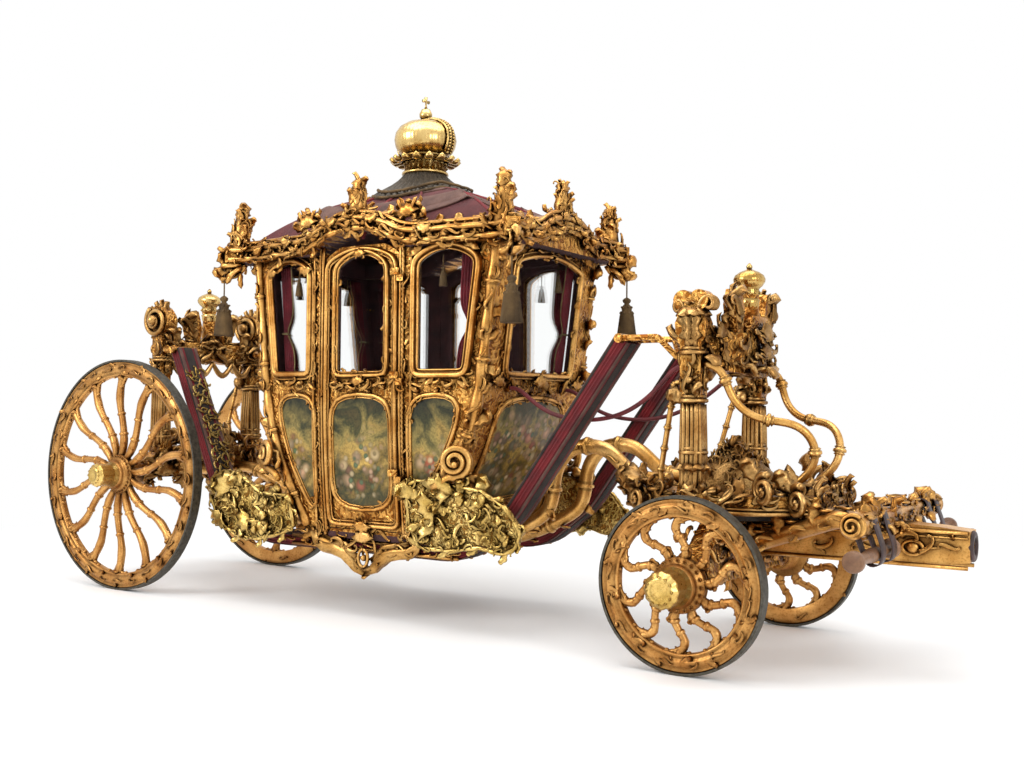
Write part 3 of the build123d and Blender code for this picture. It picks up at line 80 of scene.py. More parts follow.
def calc(nt, operation, *terms):
    """A sum of sockets and numbers."""
    n = node(nt, "Math", operation=operation)
    for sock, term in zip(n.inputs, terms):
        if isinstance(term, (int, float)):
            sock.default_value = term
        else:
            nt.links.new(term, sock)
    return n.outputs[0]


def remap(nt, value, low, high, to=(0, 1)):
    n = node(nt, "MapRange", [("Value", value)], From_Min=low, From_Max=high)
    n.inputs[3].default_value, n.inputs[4].default_value = to
    return n


def ramp(nt, fac, stops):
    r = nt.nodes.new("ShaderNodeValToRGB")
    e = r.color_ramp.elements
    while len(e) < len(stops):
        e.new(.5)
    for el, (pos, col) in zip(e, stops):
        el.position = pos
        el.color = (*col, 1)
    nt.links.new(fac, r.inputs[0])
    return r.outputs["Color"]


def mix(nt, fac, a, b, blend="MIX"):
    m = nt.nodes.new("ShaderNodeMix")
    m.data_type = "RGBA"
    m.blend_type = blend
    for sock, val in ((0, fac), (6, a), (7, b)):
        if isinstance(val, (int, float)):
            m.inputs[sock].default_value = val
        elif isinstance(val, tuple):
            m.inputs[sock].default_value = (*val, 1)
        else:
            nt.links.new(val, m.inputs[sock])
    return m.outputs[2]


def noise(nt, co, scale, detail, **props):
    return node(nt, "TexNoise", [("Vector", co)], Scale=scale, Detail=detail, **props).outputs["Fac"]


def bump(nt, shader, height, strength, depth):
    n = node(nt, "Bump", [("Height", height)], Strength=strength, Distance=depth)
    nt.links.new(n.outputs[0], shader.inputs["Normal"])


def gilding(name, dark, mid, light, rough=.3, shade_reach=.05, relief=0, depth=.006):
    """Gold leaf over carved wood: painted shade, red-brown, in the hollows; red-brown also where it is rubbed, bright
    where burnished.
    """
    m, nt, b = new_mat(name)
    co = node(nt, "TexCoord").outputs["Object"]
    tone = noise(nt, co, 6, 4)
    grain = noise(nt, co, 75, 4, Roughness=.6)
    colour = ramp(nt, tone, [(.34, mid), (.66, light)])
    rub = ramp(nt, grain, [(.3, (.55, .42, .3)), (.5, (1, 1, 1))])
    colour = mix(nt, .75, colour, rub, "MULTIPLY")
    height, strength, span = grain, .35, .0016
    if relief:
        # low ridges, as of carving too small to model, with painted shade on the ground between them
        line = calc(nt, "ABSOLUTE", calc(nt, "SUBTRACT", noise(nt, co, relief, .6, Distortion=1.6), .5))
        raised = remap(nt, calc(nt, "MULTIPLY", line, 5), 0, .9, (1, 0))
        raised.interpolation_type = "SMOOTHSTEP"
        # painted shade: the ground between the ridges is darkened
        ground_shade = ramp(nt, raised.outputs[0], [(0, (.38, .26, .16)), (.55, (1, 1, 1))])
        colour = mix(nt, 1, colour, ground_shade, "MULTIPLY")
        height, strength, span = calc(nt, "MULTIPLY_ADD", grain, .15, raised.outputs[0]), .9, depth
    # painted shade: the dark colour is mixed into the hollows that ambient occlusion finds
    ao = node(nt, "AmbientOcclusion", samples=6, Distance=shade_reach)
    colour = mix(nt, calc(nt, "POWER", ao.outputs["AO"], 2.6), dark, colour)
    nt.links.new(colour, b.inputs["Base Color"])
    b.inputs["Metallic"].default_value = 1
    nt.links.new(remap(nt, grain, .3, .7, (rough + .16, rough - .04)).outputs[0], b.inputs["Roughness"])
    bump(nt, b, height, strength, span)
    return m


GOLD = gilding("gilded_wood", (.045, .015, .004), (.47, .2, .04), (.88, .5, .15))
ANTIQUE = gilding("antique_gilding", (.035, .014, .004), (.33, .155, .04), (.7, .42, .15), .32)
CARVED = gilding("gilded_wood_relief", (.05, .018, .004), (.5, .22, .045), (.8, .43, .11), relief=17)
WHEEL = gilding("gilded_wheel_wood", (.055, .02, .005), (.42, .185, .048), (.7, .38, .12), .36)
BRONZE = gilding("gilt_bronze", (.06, .032, .007), (.56, .36, .09), (.9, .64, .22), .28)
SHELLS = gilding("gilt_rocaille", (.055, .03, .007), (.52, .34, .085), (.86, .61, .21), .28, relief=24, depth=.008)
PALE = gilding("pale_gilding", (.07, .028, .007), (.56, .28, .065), (.88, .53, .18), .34)
CROWN = gilding("crown_gold", (.05, .024, .006), (.52, .31, .08), (.88, .63, .25), .17)


def cloth(name, dark, light, scale, rough=.85, sheen=.1, depth=.0008):
    m, nt, b = new_mat(name)
    co = node(nt, "TexCoord").outputs["Object"]
    pile = noise(nt, co, scale, 5, Roughness=.7)
    colour = ramp(nt, noise(nt, co, 9, 3), [(.3, dark), (.72, light)])
    colour = mix(nt, 1, colour, ramp(nt, pile, [(.3, (.6, .6, .6)), (.7, (1, 1, 1))]), "MULTIPLY")
    nt.links.new(colour, b.inputs["Base Color"])
    setup(b, Roughness=rough, Sheen_Weight=sheen, Sheen_Tint=(1, .6, .6, 1))
    weave = node(nt, "TexWave", [("Vector", co)], Scale=scale * 1.4, Distortion=1)
    bump(nt, b, calc(nt, "ADD", pile, weave.outputs["Fac"]), .7, depth)
    return m


VELVET = cloth("crimson_velvet", (.11, .002, .005), (.27, .005, .01), 260, .8, .08)
ROOFV = cloth("roof_velvet", (.06, .006, .008), (.14, .02, .02), 200, .85, .08)
BRAID = cloth("dark_braid", (.014, .009, .007), (.055, .036, .026), 320, .8, 0, .0015)
BRAID2 = cloth("rose_braid", (.12, .05, .038), (.27, .135, .1), 190, .75, 0, .003)
BULLION = cloth("bullion_fringe", (.055, .03, .01), (.25, .145, .05), 420, .9, 0, .002)
CURTAIN = cloth("curtain_velvet", (.1, .004, .01), (.24, .012, .024), 240, .85, .12)
TRIM = cloth("curtain_trim", (.16, .11, .03), (.4, .29, .11), 300, .6, .1)
LINING = cloth("cabin_lining", (.035, .012, .012), (.09, .025, .025), 180)
SILK = cloth("silk_cord", (.09, .006, .01), (.22, .022, .026), 500, .6, .1)
LEATHER = cloth("harness_leather", (.02, .009, .009), (.07, .03, .028), 90, .5, 0, .0006)
KNOB = cloth("worn_leather", (.15, .062, .026), (.33, .165, .075), 60, .42, 0, .001)


def iron(name, dark, light, rough, metal=.8, scale=40):
    m, nt, b = new_mat(name)
    grain = noise(nt, node(nt, "TexCoord").outputs["Object"], scale, 6, Roughness=.65)
    nt.links.new(ramp(nt, grain, [(.3, dark), (.7, light)]), b.inputs["Base Color"])
    setup(b, Metallic=metal, Roughness=rough)
    bump(nt, b, grain, .6, .001)
    return m


TYRE = iron("tyre_iron", (.04, .036, .028), (.125, .112, .088), .55)
IRON = iron("dark_iron", (.02, .018, .016), (.07, .06, .05), .55)
PEWTER = iron("pewter_cloth", (.022, .017, .012), (.11, .086, .06), .5, .4, 60)

GLASS, nt, b = new_mat("window_glass")
setup(b, Base_Color=(.93, .96, .95, 1), Roughness=.02, Transmission_Weight=1, IOR=1.02, Alpha=.25)

SKY = [(0, (.02, .018, .007)), (.2, (.06, .05, .018)), (.34, (.026, .03, .013)), (.46, (.095, .075, .026)),
       (.6, (.21, .165, .065)), (.74, (.15, .135, .06)), (.88, (.03, .036, .018)), (1, (.05, .045, .022))]
# columns: scale, inner and outer edge of a blossom, its colours
BLOOMS = [(11, .34, .6, [(0, (.5, .4, .22)), (.3, (.42, .26, .16)), (.5, (.07, .12, .09)), (.72, (.44, .1, .05)),
                         (.9, (.6, .5, .32))]),
          (21, .3, .52, [(0, (.62, .5, .32)), (.35, (.13, .1, .04)), (.55, (.5, .32, .22)), (.78, (.09, .13, .07))])]


def painted(name, seed, cx, cz, reach):
    """A painted garden scene of no real place: ochre sky, teal foliage, a heap of cream and red blossom."""
    m, nt, b = new_mat(name)
    tc = node(nt, "TexCoord").outputs["Object"]
    co = node(nt, "Mapping", [("Vector", tc)], Location=(seed * 3.1, seed * 1.7, seed)).outputs[0]
    xyz = node(nt, "SeparateXYZ", [("Vector", tc)])
    clouds = noise(nt, co, 5, 5, Distortion=1.2)
    bent = calc(nt, "MULTIPLY_ADD", clouds, 1.1, xyz.outputs["Z"])
    sky = ramp(nt, remap(nt, bent, cz + .02, cz + 1.05).outputs[0], SKY)
    brush = noise(nt, co, 30, 5, Distortion=2)
    sky = mix(nt, .8, sky, ramp(nt, brush, [(.3, (.45, .45, .4)), (.62, (1.25, 1.2, 1.1))]), "MULTIPLY")
    flat = node(nt, "Mapping", [("Vector", tc)], Location=(-cx, 0, -.8 * cz), Scale=(1, 0, .8))
    far = node(nt, "VectorMath", [(0, flat.outputs[0])], operation="LENGTH").outputs["Value"]
    edge = remap(nt, far, reach * .2, reach * 1.6).outputs[0]
    glow = ramp(nt, edge, [(0, (2.1, 1.75, 1.15)), (.45, (1.4, 1.2, .82)), (1, (.32, .32, .25))])
    colour = mix(nt, 1, sky, glow, "MULTIPLY")
    heap = remap(nt, calc(nt, "MULTIPLY_ADD", clouds, .3, far), reach * .95, reach * 1.35, (1, 0)).outputs[0]
    for scale, low, high, stops in BLOOMS:
        bloom = node(nt, "TexVoronoi", [("Vector", co)], Scale=scale, Randomness=1)
        disc = remap(nt, bloom.outputs["Distance"], low, high, (1, 0)).outputs[0]
        where = calc(nt, "MULTIPLY", disc, heap)
        hue = ramp(nt, node(nt, "SeparateColor", [("Color", bloom.outputs["Color"])]).outputs[0], stops)
        petal = ramp(nt, bloom.outputs["Distance"], [(.05, (1.15, 1.1, 1)), (.5, (.45, .42, .36))])
        colour = mix(nt, where, colour, mix(nt, 1, hue, petal, "MULTIPLY"))
    nt.links.new(colour, b.inputs["Base Color"])
    setup(b, Roughness=.36, Coat_Weight=.05, Coat_Roughness=.12, Specular_IOR_Level=.25)
    bump(nt, b, brush, .2, .001)
    return m


# ---------------------------------------------------------------- small forms, in mesh code
def unit(v):
    v = np.asarray(v, float)
    return v / max(np.linalg.norm(v), 1e-12)


def grid(nu, nv, loop=True):
    i = np.arange(nu - 1)[:, None]
    j = np.arange(nv if loop else nv - 1)[None, :]
    k = (j + 1) % nv
    return np.stack([i * nv + j, i * nv + k, (i + 1) * nv + k, (i + 1) * nv + j], -1).reshape(-1, 4)


def frames(p, hint=(0, 0, 1)):
    """Directions along a line, and a normal carried along it without twist."""
    t = np.gradient(p, axis=0)
    t /= np.linalg.norm(t, axis=1)[:, None] + 1e-12
    a = np.asarray(hint, float)
    if abs(np.dot(unit(a), t[0])) > .95:
        a = np.array([.3, 1, .2])
    n = np.zeros_like(p)
    for k in range(len(p)):
        a = unit(a - t[k] * np.dot(a, t[k]))
        n[k] = a
    return t, n, np.cross(t, n)


def tube(p, r, sides=8, flat=1, hint=(0, 0, 1), section=None):
    """A tube along points, closed at both ends; section gives its points as (up, across)."""
    p = np.asarray(p, float)
    r = np.broadcast_to(np.asarray(r, float), (len(p),)).copy()
    t, n, b = frames(p, hint)
    p = np.vstack([p[:1], p, p[-1:]])
    r = np.concatenate([[1e-4], r, [1e-4]])[:, None, None]
    n, b = (np.vstack([q[:1], q, q[-1:]])[:, None] for q in (n, b))
    if section is None:
        a = np.linspace(0, 2 * math.pi, sides, endpoint=False)
        section = np.stack([np.cos(a), flat * np.sin(a)], 1)
    sec = np.asarray(section, float)[None]
    v = p[:, None] + r * (sec[..., :1] * n + sec[..., 1:] * b)
    return v.reshape(-1, 3), grid(len(p), sec.shape[1])


def lathe(profile, sides=24, ripple=None):
    """Rings about local Z. profile: radius, height. ripple(angle, share) scales the radius."""
    pr = np.asarray(profile, float)
    a = np.linspace(0, 2 * math.pi, sides, endpoint=False)
    r = pr[:, 0][:, None] * np.ones(sides)[None]
    if ripple is not None:
        s = np.linspace(0, 1, len(pr))[:, None]
        r = r * ripple(a[None, :], s)
    v = np.stack([r * np.cos(a), r * np.sin(a), np.broadcast_to(pr[:, 1][:, None], r.shape)], -1)
    f = grid(len(pr), sides)
    return v.reshape(-1, 3), f[:, ::-1] if pr[-1, 1] < pr[0, 1] else f


def leaf(lobes, curl=1, width=.33, nu=10):
    """An acanthus leaf along +X, its face to +Z, lobed at its edges and curling up at its tip."""
    cup, thick, cut = .42, .12, .2
    u = np.linspace(0, 1, nu)
    phi = 2.2 * curl * u ** 3 - .22
    du = 1 / (nu - 1)
    x = np.concatenate([[0], np.cumsum(np.cos(phi[:-1]) * du)])
    z = np.concatenate([[0], np.cumsum(np.sin(phi[:-1]) * du)])
    wave = np.cos(2 * math.pi * lobes * u)
    w = width * np.sin(math.pi * (.07 + .83 * u)) ** .5 * (1 - cut + cut * wave)
    shut = np.ones(nu)
    shut[0], shut[-1] = .35, .1
    w = w * shut
    nrm = np.stack([-np.sin(phi), 0 * phi, np.cos(phi)], -1)
    v = np.array([1, .5, 0, -.5, -1, -.5, .5])
    ridge = np.array([0, 1, .7, 1, 0, 0, 0])
    drop = np.array([0, 0, 0, 0, 0, 1, 1])
    lift = cup * w[:, None] * (ridge * (1 - .35 * wave[:, None]) - .8) - thick * drop * shut[:, None]
    spine = np.stack([x, 0 * x, z], -1)[:, None]
    pts = spine + w[:, None, None] * v[None, :, None] * Y + lift[..., None] * nrm[:, None]
    return pts.reshape(-1, 3), grid(nu, 7)


def curl_line(kind, n):
    """C and S scrolls and single volutes: a line whose bend tightens towards its ends."""
    s = np.linspace(0, 1, n)
    q = 2 * s - 1
    k = {"C": 1.6 + 17 * np.abs(q) ** 3, "S": 15 * q * np.abs(q) ** 1.4, "J": .8 + 17 * s ** 3}[kind]
    th = np.concatenate([[0], np.cumsum((k[1:] + k[:-1]) / 2)]) / (n - 1)
    x = np.concatenate([[0], np.cumsum(np.cos(th[:-1]))]) / (n - 1)
    y = np.concatenate([[0], np.cumsum(np.sin(th[:-1]))]) / (n - 1)
    p = np.stack([x, y, 0 * x], -1)
    if kind in "CS":
        p -= (p[0] + p[-1]) / 2
        d = unit(p[-1] - p[0])
        p = p @ np.array([[d[0], -d[1], 0], [d[1], d[0], 0], [0, 0, 1]])
    return p, s


BAND = [(-.6, -.8), (.6, -.75), (.35, -.1), (1, .5), (.3, .95), (-.6, .7)]


def scroll(kind, w=.092, sprouts=(.4,)):
    """A grooved band curling in at its ends, with leaves on its outer edge."""
    n, rise = 10, .06
    p, s = curl_line(kind, n)
    q = np.abs(2 * s - 1) if kind in "CS" else s
    r = w * (1 - .66 * q ** 1.3)
    r[-1] *= 1.8
    if kind in "CS":
        r[0] *= 1.8
    p[:, 2] += rise + .05 * q ** 4
    ends = p[[0, -1]] + 2e-3 * np.array([p[0] - p[1], p[-1] - p[-2]])
    made = [tube(np.vstack([ends[:1], p, ends[1:]]), np.concatenate([[.002], r, [.002]]), section=BAND)]
    t = np.gradient(p, axis=0)
    for at in sprouts:
        i = int(at * (n - 1))
        out = np.cross(unit(t[i]), (0, 0, 1)) * (-1 if kind == "S" and at > .5 else 1)
        made.append(moved(SLIM, place(p[i] + out * r[i] * .3, out + unit(t[i]) * 1.5, Z + out * .3, .34)))
    return merge(*made)


def shell():
    """A fluted shell opening towards +X, its face to +Z, closed behind."""
    nt, spread = 9, 1.15
    r = np.array([.12, .45, .8, 1])
    th = np.linspace(spread, -spread, nt)
    fl = .5 + .5 * np.cos(np.arange(nt) * math.pi)
    rr = r[:, None] * (1 - .16 * (1 - fl)[None] * r[:, None])
    z = .3 * np.sin(2.6 * r)[:, None] + .11 * (fl[None] - .5) * r[:, None]
    top = np.stack([rr * np.cos(th), rr * np.sin(th), z * np.ones_like(rr)], -1)
    back = top[:, [-1, nt // 2, 0]] - np.array([0, 0, .09])
    rim = np.stack([np.interp(np.arange(nt), [0, nt // 2, nt - 1], back[-1, ::-1, k]) for k in range(3)], 1)
    rows = np.concatenate([top, back], 1)
    rows = np.concatenate([rows, np.concatenate([rim, back[-1]])[None]])
    return rows.reshape(-1, 3), grid(5, nt + 3)


def ball(r=1, n=6, m=5):
    a = np.linspace(-math.pi / 2 + 1e-3, math.pi / 2 - 1e-3, m)
    return lathe([(r * math.cos(x), r * math.sin(x)) for x in a], n)


def merge(*forms):
    vs, fs, n = [], [], 0
    for v, f in forms:
        vs.append(v)
        fs.append(f + n)
        n += len(v)
    return np.vstack(vs), np.vstack(fs)


def moved(form, m):
    return form[0] @ m[:3, :3].T + m[:3, 3], form[1]


def place(o, x, z, s=1):
    """A local frame at o: +X along x, +Z along z, sized by s."""
    z = unit(z)
    x = np.asarray(x, float)
    x = unit(x - z * np.dot(x, z))
    m = np.eye(4)
    m[:3, :3] = np.stack([x, np.cross(z, x), z], 1) * s
    m[:3, 3] = o
    return m


def turned(a, x=0, y=0, s=1):
    return place((x, y, 0), spin(a), Z, s)


def spin(a, u=X, v=Y):
    """A direction turned by a, from u towards v."""
    return u * math.cos(a) + v * math.sin(a)


def round_about(n, start=0, u=X, v=Y):
    """n directions, evenly round."""
    return [spin(2 * math.pi * k / n + start, u, v) for k in range(n)]


LEAF = leaf(2, nu=8)
BROAD = leaf(3, 1.15, .44)
SLIM = leaf(1, .8, .22, 5)
C, S, J = scroll("C"), scroll("S"), scroll("J", .1)
C2, S2, CURL = scroll("C", sprouts=()), scroll("S", sprouts=()), scroll("J", .14, ())
SHELL = shell()
BALL = ball()
ROCAILLE = merge(moved(SHELL, turned(0, -.05, s=.62)), moved(C, turned(math.pi / 2, -.12, s=1.05)),
                 moved(SLIM, turned(.5, .25, .22, .6)), moved(SLIM, turned(-.5, .25, -.22, .6)))
EYE = lathe([(.001, .1), (.26, .06), (.62, .02), (.84, .16), (.98, .2), (1.08, .08), (1, -.12)], 9)
VOLUTE = merge(J, moved(SLIM, turned(.4, .1, .05, .7)), moved(SLIM, turned(-.5, .3, 0, .6)))
# columns: form, turn against the line, size
FORMS = {"leaf": (LEAF, .5, 1), "back": (LEAF, -.6, .9), "broad": (BROAD, 1.2, 1.1), "out": (BROAD, 1.57, 1.2),
         "slim": (SLIM, 1.2, .9), "c": (C2, .1, 1.15), "s": (S2, .15, 1.3), "j": (CURL, .2, 1.1),
         "vol": (VOLUTE, .6, 1.2),
         "shell": (SHELL, 1.57, .8), "roc": (ROCAILLE, 1.57, 1.25), "eye": (EYE, 0, .28)}


class Pile:
    """Grows one mesh out of many small forms."""

    def __init__(self):
        self.v, self.f, self.n = [], [], 0

    def add(self, form, m=None):
        v, f = form if m is None else moved(form, m)
        self.v.append(v)
        self.f.append(f + self.n)
        self.n += len(v)
        return self

    def rod(self, p, r, sides=8, *args, **more):
        return self.add(tube(p, r, sides, *args, **more))

    def turn(self, profile, sides, at, z=Z, x=X, ripple=None):
        """A turned form whose axis z stands at a point."""
        return self.add(lathe(profile, sides, ripple), place(at, x, z))

    def piece(self, name, body, mat, slot, side="both", replaces=()):
        """The mesh as drawn, on the coach's right; mirrored to the left; or both."""
        v, f = np.vstack(self.v), np.vstack(self.f)
        w, g = v * (1, -1, 1), f[:, ::-1]
        if side == "left":
            v, f = w, g
        elif side == "both":
            v, f = np.vstack([v, w]), np.vstack([f, g + len(v)])
        me = bpy.data.meshes.new(name)
        me.vertices.add(len(v))
        me.vertices.foreach_set("co", v.astype(np.float32).ravel())
        me.loops.add(4 * len(f))
        me.loops.foreach_set("vertex_index", f.astype(np.int32).ravel())
        me.polygons.add(len(f))
        me.polygons.foreach_set("loop_start", np.arange(0, 4 * len(f), 4, dtype=np.int32))
        me.polygons.foreach_set("use_smooth", np.ones(len(f), bool))
        me.update(calc_edges=True)
        me.validate()
        return dressed(bpy.data.objects.new(name, me), body, mat, replaces)


def dressed(ob, body, mat, replaces=()):
    """Puts an object on its body, with its finish and the nodes it stands for."""
    scene.collection.objects.link(ob)
    ob.data.materials.append(mat)
    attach(ob, body)
    if replaces:
        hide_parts(*replaces)
    return ob


def smoothed(line, times):
    """A line softened between its ends."""
    for _ in range(times):
        line[1:-1] = .25 * line[:-2] + .5 * line[1:-1] + .25 * line[2:]
    return line


def ringed(*loops):
    """Closed loops, each with its first point again at its end."""
    return [np.vstack([q, q[:1]]) for q in loops]


def fluted(count, depth):
    """A ripple of shallow flutes for turned forms."""
    return lambda a, s: 1 + depth * np.cos(count * a)


def resample(p, step=None, n=None):
    p = np.asarray(p, float)
    d = np.concatenate([[0], np.cumsum(np.linalg.norm(np.diff(p, axis=0), axis=1))])
    if n is None:
        n = max(2, int(round(d[-1] / step)) + 1)
    s = np.linspace(0, d[-1], n)
    return np.stack([np.interp(s, d, p[:, k]) for k in range(p.shape[1])], 1)


def fillet(points, radii, n=5):
    """A line through points with its corners rounded; one radius or one for each corner."""
    p = [np.asarray(q, float) for q in points]
    if isinstance(radii, (int, float)):
        radii = [radii] * (len(p) - 2)
    out = [p[0]]
    for a, b, c, r in zip(p, p[1:], p[2:], radii):
        u, w = unit(a - b), unit(c - b)
        ang = math.acos(max(-1, min(1, float(np.dot(u, w)))))
        if ang > 3.1:
            out.append(b)
            continue
        d = min(r / math.tan(ang / 2), .45 * np.linalg.norm(a - b), .45 * np.linalg.norm(c - b))
        for k in range(n + 1):
            t = k / n
            out.append((1 - t) ** 2 * (b + u * d) + 2 * t * (1 - t) * b + t * t * (b + w * d))
    out.append(p[-1])
    return np.array(out)


def garnish(pile, p, nrm, size, step, kinds, jitter=.2, lift=0, flip=False):
    """Carving along a line: small forms in turn, each lying on the surface whose normal is given."""
    p = np.asarray(p, float)
    nrm = np.broadcast_to(np.asarray(nrm, float), p.shape)
    both = resample(np.hstack([p, nrm * 1e-9]), step)
    q = both[:, :3]
    m = both[:, 3:] * 1e9
    t = np.gradient(q, axis=0)
    kinds = kinds.split()
    for i in range(len(q)):
        form, turn, scale = FORMS[kinds[i % len(kinds)]]
        a = (turn + rng.normal(0, jitter)) * (-1 if flip else 1)
        z = unit(m[i])
        x = unit(t[i] - z * np.dot(t[i], z))
        x = x * math.cos(a) + np.cross(z, x) * math.sin(a)
        pile.add(form, place(q[i] + z * lift, x, z, size * scale * rng.uniform(.85, 1.15)))


def knuckles(pile, p, r, step, fat, length, sides=12):
    """Turned rings along a rod."""
    fine = .01
    q = resample(p, fine)
    t = np.gradient(q, axis=0)
    prof = [(.6, -1), (1, -.75), (.75, -.5), (1.12, -.25), (1.16, .2), (.75, .45), (1, .7), (.6, 1)]
    ring = lathe([(a * r * fat, b * r * length) for a, b in prof], sides)
    k = step * .5 / fine
    while k < len(q) - 3:
        pile.add(ring, place(q[int(k)], (.3, .9, .1), t[int(k)]))
        k += step / fine


# ---------------------------------------------------------------- camera, light and floor
YAW, PITCH, ROLL = .582237, .025682, .00902
fwd = np.array([-math.sin(YAW) * math.cos(PITCH), math.cos(YAW) * math.cos(PITCH), math.sin(PITCH)])
right = np.array([math.cos(YAW), math.sin(YAW), 0])
up = np.cross(right, fwd)
right, up = right * math.cos(ROLL) + up * math.sin(ROLL), -right * math.sin(ROLL) + up * math.cos(ROLL)
cam_data = bpy.data.cameras.new("camera")
cam_data.sensor_width, cam_data.lens = 36, 38.173
cam_data.sensor_fit = "HORIZONTAL"
cam_data.clip_end = 200
cam = bpy.data.objects.new("camera", cam_data)
scene.collection.objects.link(cam)
rot = Matrix([[right[i], up[i], -fwd[i]] for i in range(3)]).to_4x4()
cam.matrix_world = Matrix.Translation((4.376, -5.916, 1.33)) @ rot
scene.camera = cam

# the floor fades to plain white away from the coach
FLOOR, nt, b = new_mat("studio_floor")
grain = noise(nt, node(nt, "TexCoord").outputs["Object"], .6, 3)
nt.links.new(ramp(nt, grain, [(.3, (.9, .9, .9)), (.7, (.93, .93, .925))]), b.inputs["Base Color"])
b.inputs["Roughness"].default_value = .55
shown = next(n for n in nt.nodes if n.type == "OUTPUT_MATERIAL").inputs["Surface"]
bright = node(nt, "Emission", Strength=1, Color=(1, 1, 1, 1))
away = node(nt, "VectorMath", [(0, node(nt, "TexCoord").outputs["Object"])], operation="LENGTH").outputs["Value"]
fade = remap(nt, away, 3.6, 7).outputs[0]
blend = node(nt, "MixShader", [(0, fade), (1, shown.links[0].from_socket), (2, bright.outputs[0])])
nt.links.new(blend.outputs[0], shown)
bpy.ops.mesh.primitive_plane_add(size=80, location=(0, 0, 0))
floor = bpy.context.object
floor.name = "floor_stage"
floor.data.materials.append(FLOOR)

world = bpy.data.worlds.new("studio")
scene.world = world
world.use_nodes = True
setup(world.node_tree.nodes["Background"], Color=(1, 1, 1, 1), Strength=1)


def softbox(name, at, to, size, power):
    lamp = bpy.data.lights.new(name, "AREA")
    lamp.shape = "RECTANGLE"
    lamp.size, lamp.size_y = size
    lamp.energy = power
    ob = bpy.data.objects.new(name, lamp)
    scene.collection.objects.link(ob)
    ob.location = at
    ob.rotation_euler = (Vector(to) - Vector(at)).to_track_quat("-Z", "Y").to_euler()


softbox("top_light", (.5, -.5, 6.5), (0, 0, 0), (7, 4), 260)
softbox("key_light", (-3.5, -6.5, 4.5), (0, 0, 1.2), (3, 3), 260)
softbox("fill_light", (7.5, -3, 3), (1, 0, 1), (2.5, 3), 120)


# ---------------------------------------------------------------- the cabin's surface
def arc_through(a, b, c):
    """Half width as a function of height on the arc through three (half width, height) points."""
    (x1, z1), (x2, z2), (x3, z3) = a, b, c
    m = np.array([[x2 - x1, z2 - z1], [x3 - x1, z3 - z1]])
    q = np.array([x2 ** 2 - x1 ** 2 + z2 ** 2 - z1 ** 2, x3 ** 2 - x1 ** 2 + z3 ** 2 - z1 ** 2]) / 2
    cx, cz = np.linalg.solve(m, q)
    r = math.hypot(x1 - cx, z1 - cz)
    return lambda z: cx + math.copysign(1, x2 - cx) * math.sqrt(max(0, r * r - (z - cz) ** 2))


BELLY = arc_through((.7, .9), (.8525, 1.215), (.925, SILL))
TURN_UNDER = arc_through((.575, BODY_Z0), (.628, (BODY_Z0 + SILL) / 2), (.645, SILL))


def half_len(z):
    if z < .9:
        return .5 + .2 * (z - BODY_Z0) / (.9 - BODY_Z0)
    return BELLY(z) if z < SILL else .925 + .11 * (z - SILL) / (EAVES - SILL)


def half_wid(x, z):
    plan = .645 - max(0, abs(x) - .35) * (.073 / .725)
    return min(plan, TURN_UNDER(z) if z < SILL else .645)


def on_side(pts):
    """Points (x from the cabin's middle, z) on its right side, with normals."""
    p, n, e = [], [], .004
    for x, z in pts:
        p.append((BX + x, -half_wid(x, z), z))
        n.append(unit(((half_wid(x - e, z) - half_wid(x + e, z)) / (2 * e), -1,
                       (half_wid(x, z - e) - half_wid(x, z + e)) / (2 * e))))
    n = np.array(n)
    n[:, 1] = -np.abs(n[:, 1])
    return np.array(p), n


def on_end(pts, sense):
    """Points (y, z) on the front (sense 1) or rear wall, with normals."""
    p, n, e = [], [], .004
    for y, z in pts:
        p.append((BX + sense * half_len(z), y, z))
        n.append(unit((sense, 0, -(half_len(z + e) - half_len(z - e)) / (2 * e))))
    return np.array(p), np.array(n)


def moulding(pile, p, n, profile, closed=True):
    """A section drawn along a line on a surface. profile: across, out."""
    p, n = np.asarray(p, float), np.asarray(n, float)
    if closed:
        t = (np.roll(p, -1, 0) - np.roll(p, 1, 0))
    else:
        t = np.gradient(p, axis=0)
    t /= np.linalg.norm(t, axis=1)[:, None] + 1e-12
    a = np.cross(n, t)
    a /= np.linalg.norm(a, axis=1)[:, None] + 1e-12
    pr = np.asarray(profile, float)
    v = p[:, None] + pr[None, :, :1] * a[:, None] + pr[None, :, 1:] * n[:, None]
    if closed:
        v = np.concatenate([v, v[:1]])
    pile.add((v.reshape(-1, 3), grid(len(v), len(pr))))


def bead(w, h):
    """A fillet, a hollow and a full round, across from -w to w."""
    out = [(-w, -.004), (-w, .4 * h), (-.86 * w, .58 * h), (-.66 * w, .58 * h), (-.56 * w, .4 * h), (-.4 * w, .34 * h)]
    out += [(.3 * w - .62 * w * math.cos(a), .36 * h + .64 * h * math.sin(a)) for a in np.linspace(0, math.pi, 9)]
    return out + [(w, .3 * h), (w, -.004)]


def arch_loop(x0, x1l, x1h, z0, spring, rise, n=9):
    """A closed window outline; the side at x1 may lean."""
    pts = [(x0, z0 + (spring - z0) * k / n) for k in range(n)]
    pts += [(x0 + (x1h - x0) * k / n, spring + rise * (1 - (2 * k / n - 1) ** 2)) for k in range(n)]
    pts += [(x1h + (x1l - x1h) * k / n, spring + (z0 - spring) * k / n) for k in range(n)]
    pts += [(x1l + (x0 - x1l) * k / n, z0) for k in range(n)]
    return pts


def rounded(loop, step=.028):
    """A closed outline with its corners softened."""
    q = resample([*loop, loop[0]], step)[:-1]
    for _ in range(3):
        q = .25 * np.roll(q, 1, 0) + .5 * q + .25 * np.roll(q, -1, 0)
    return [tuple(a) for a in q]


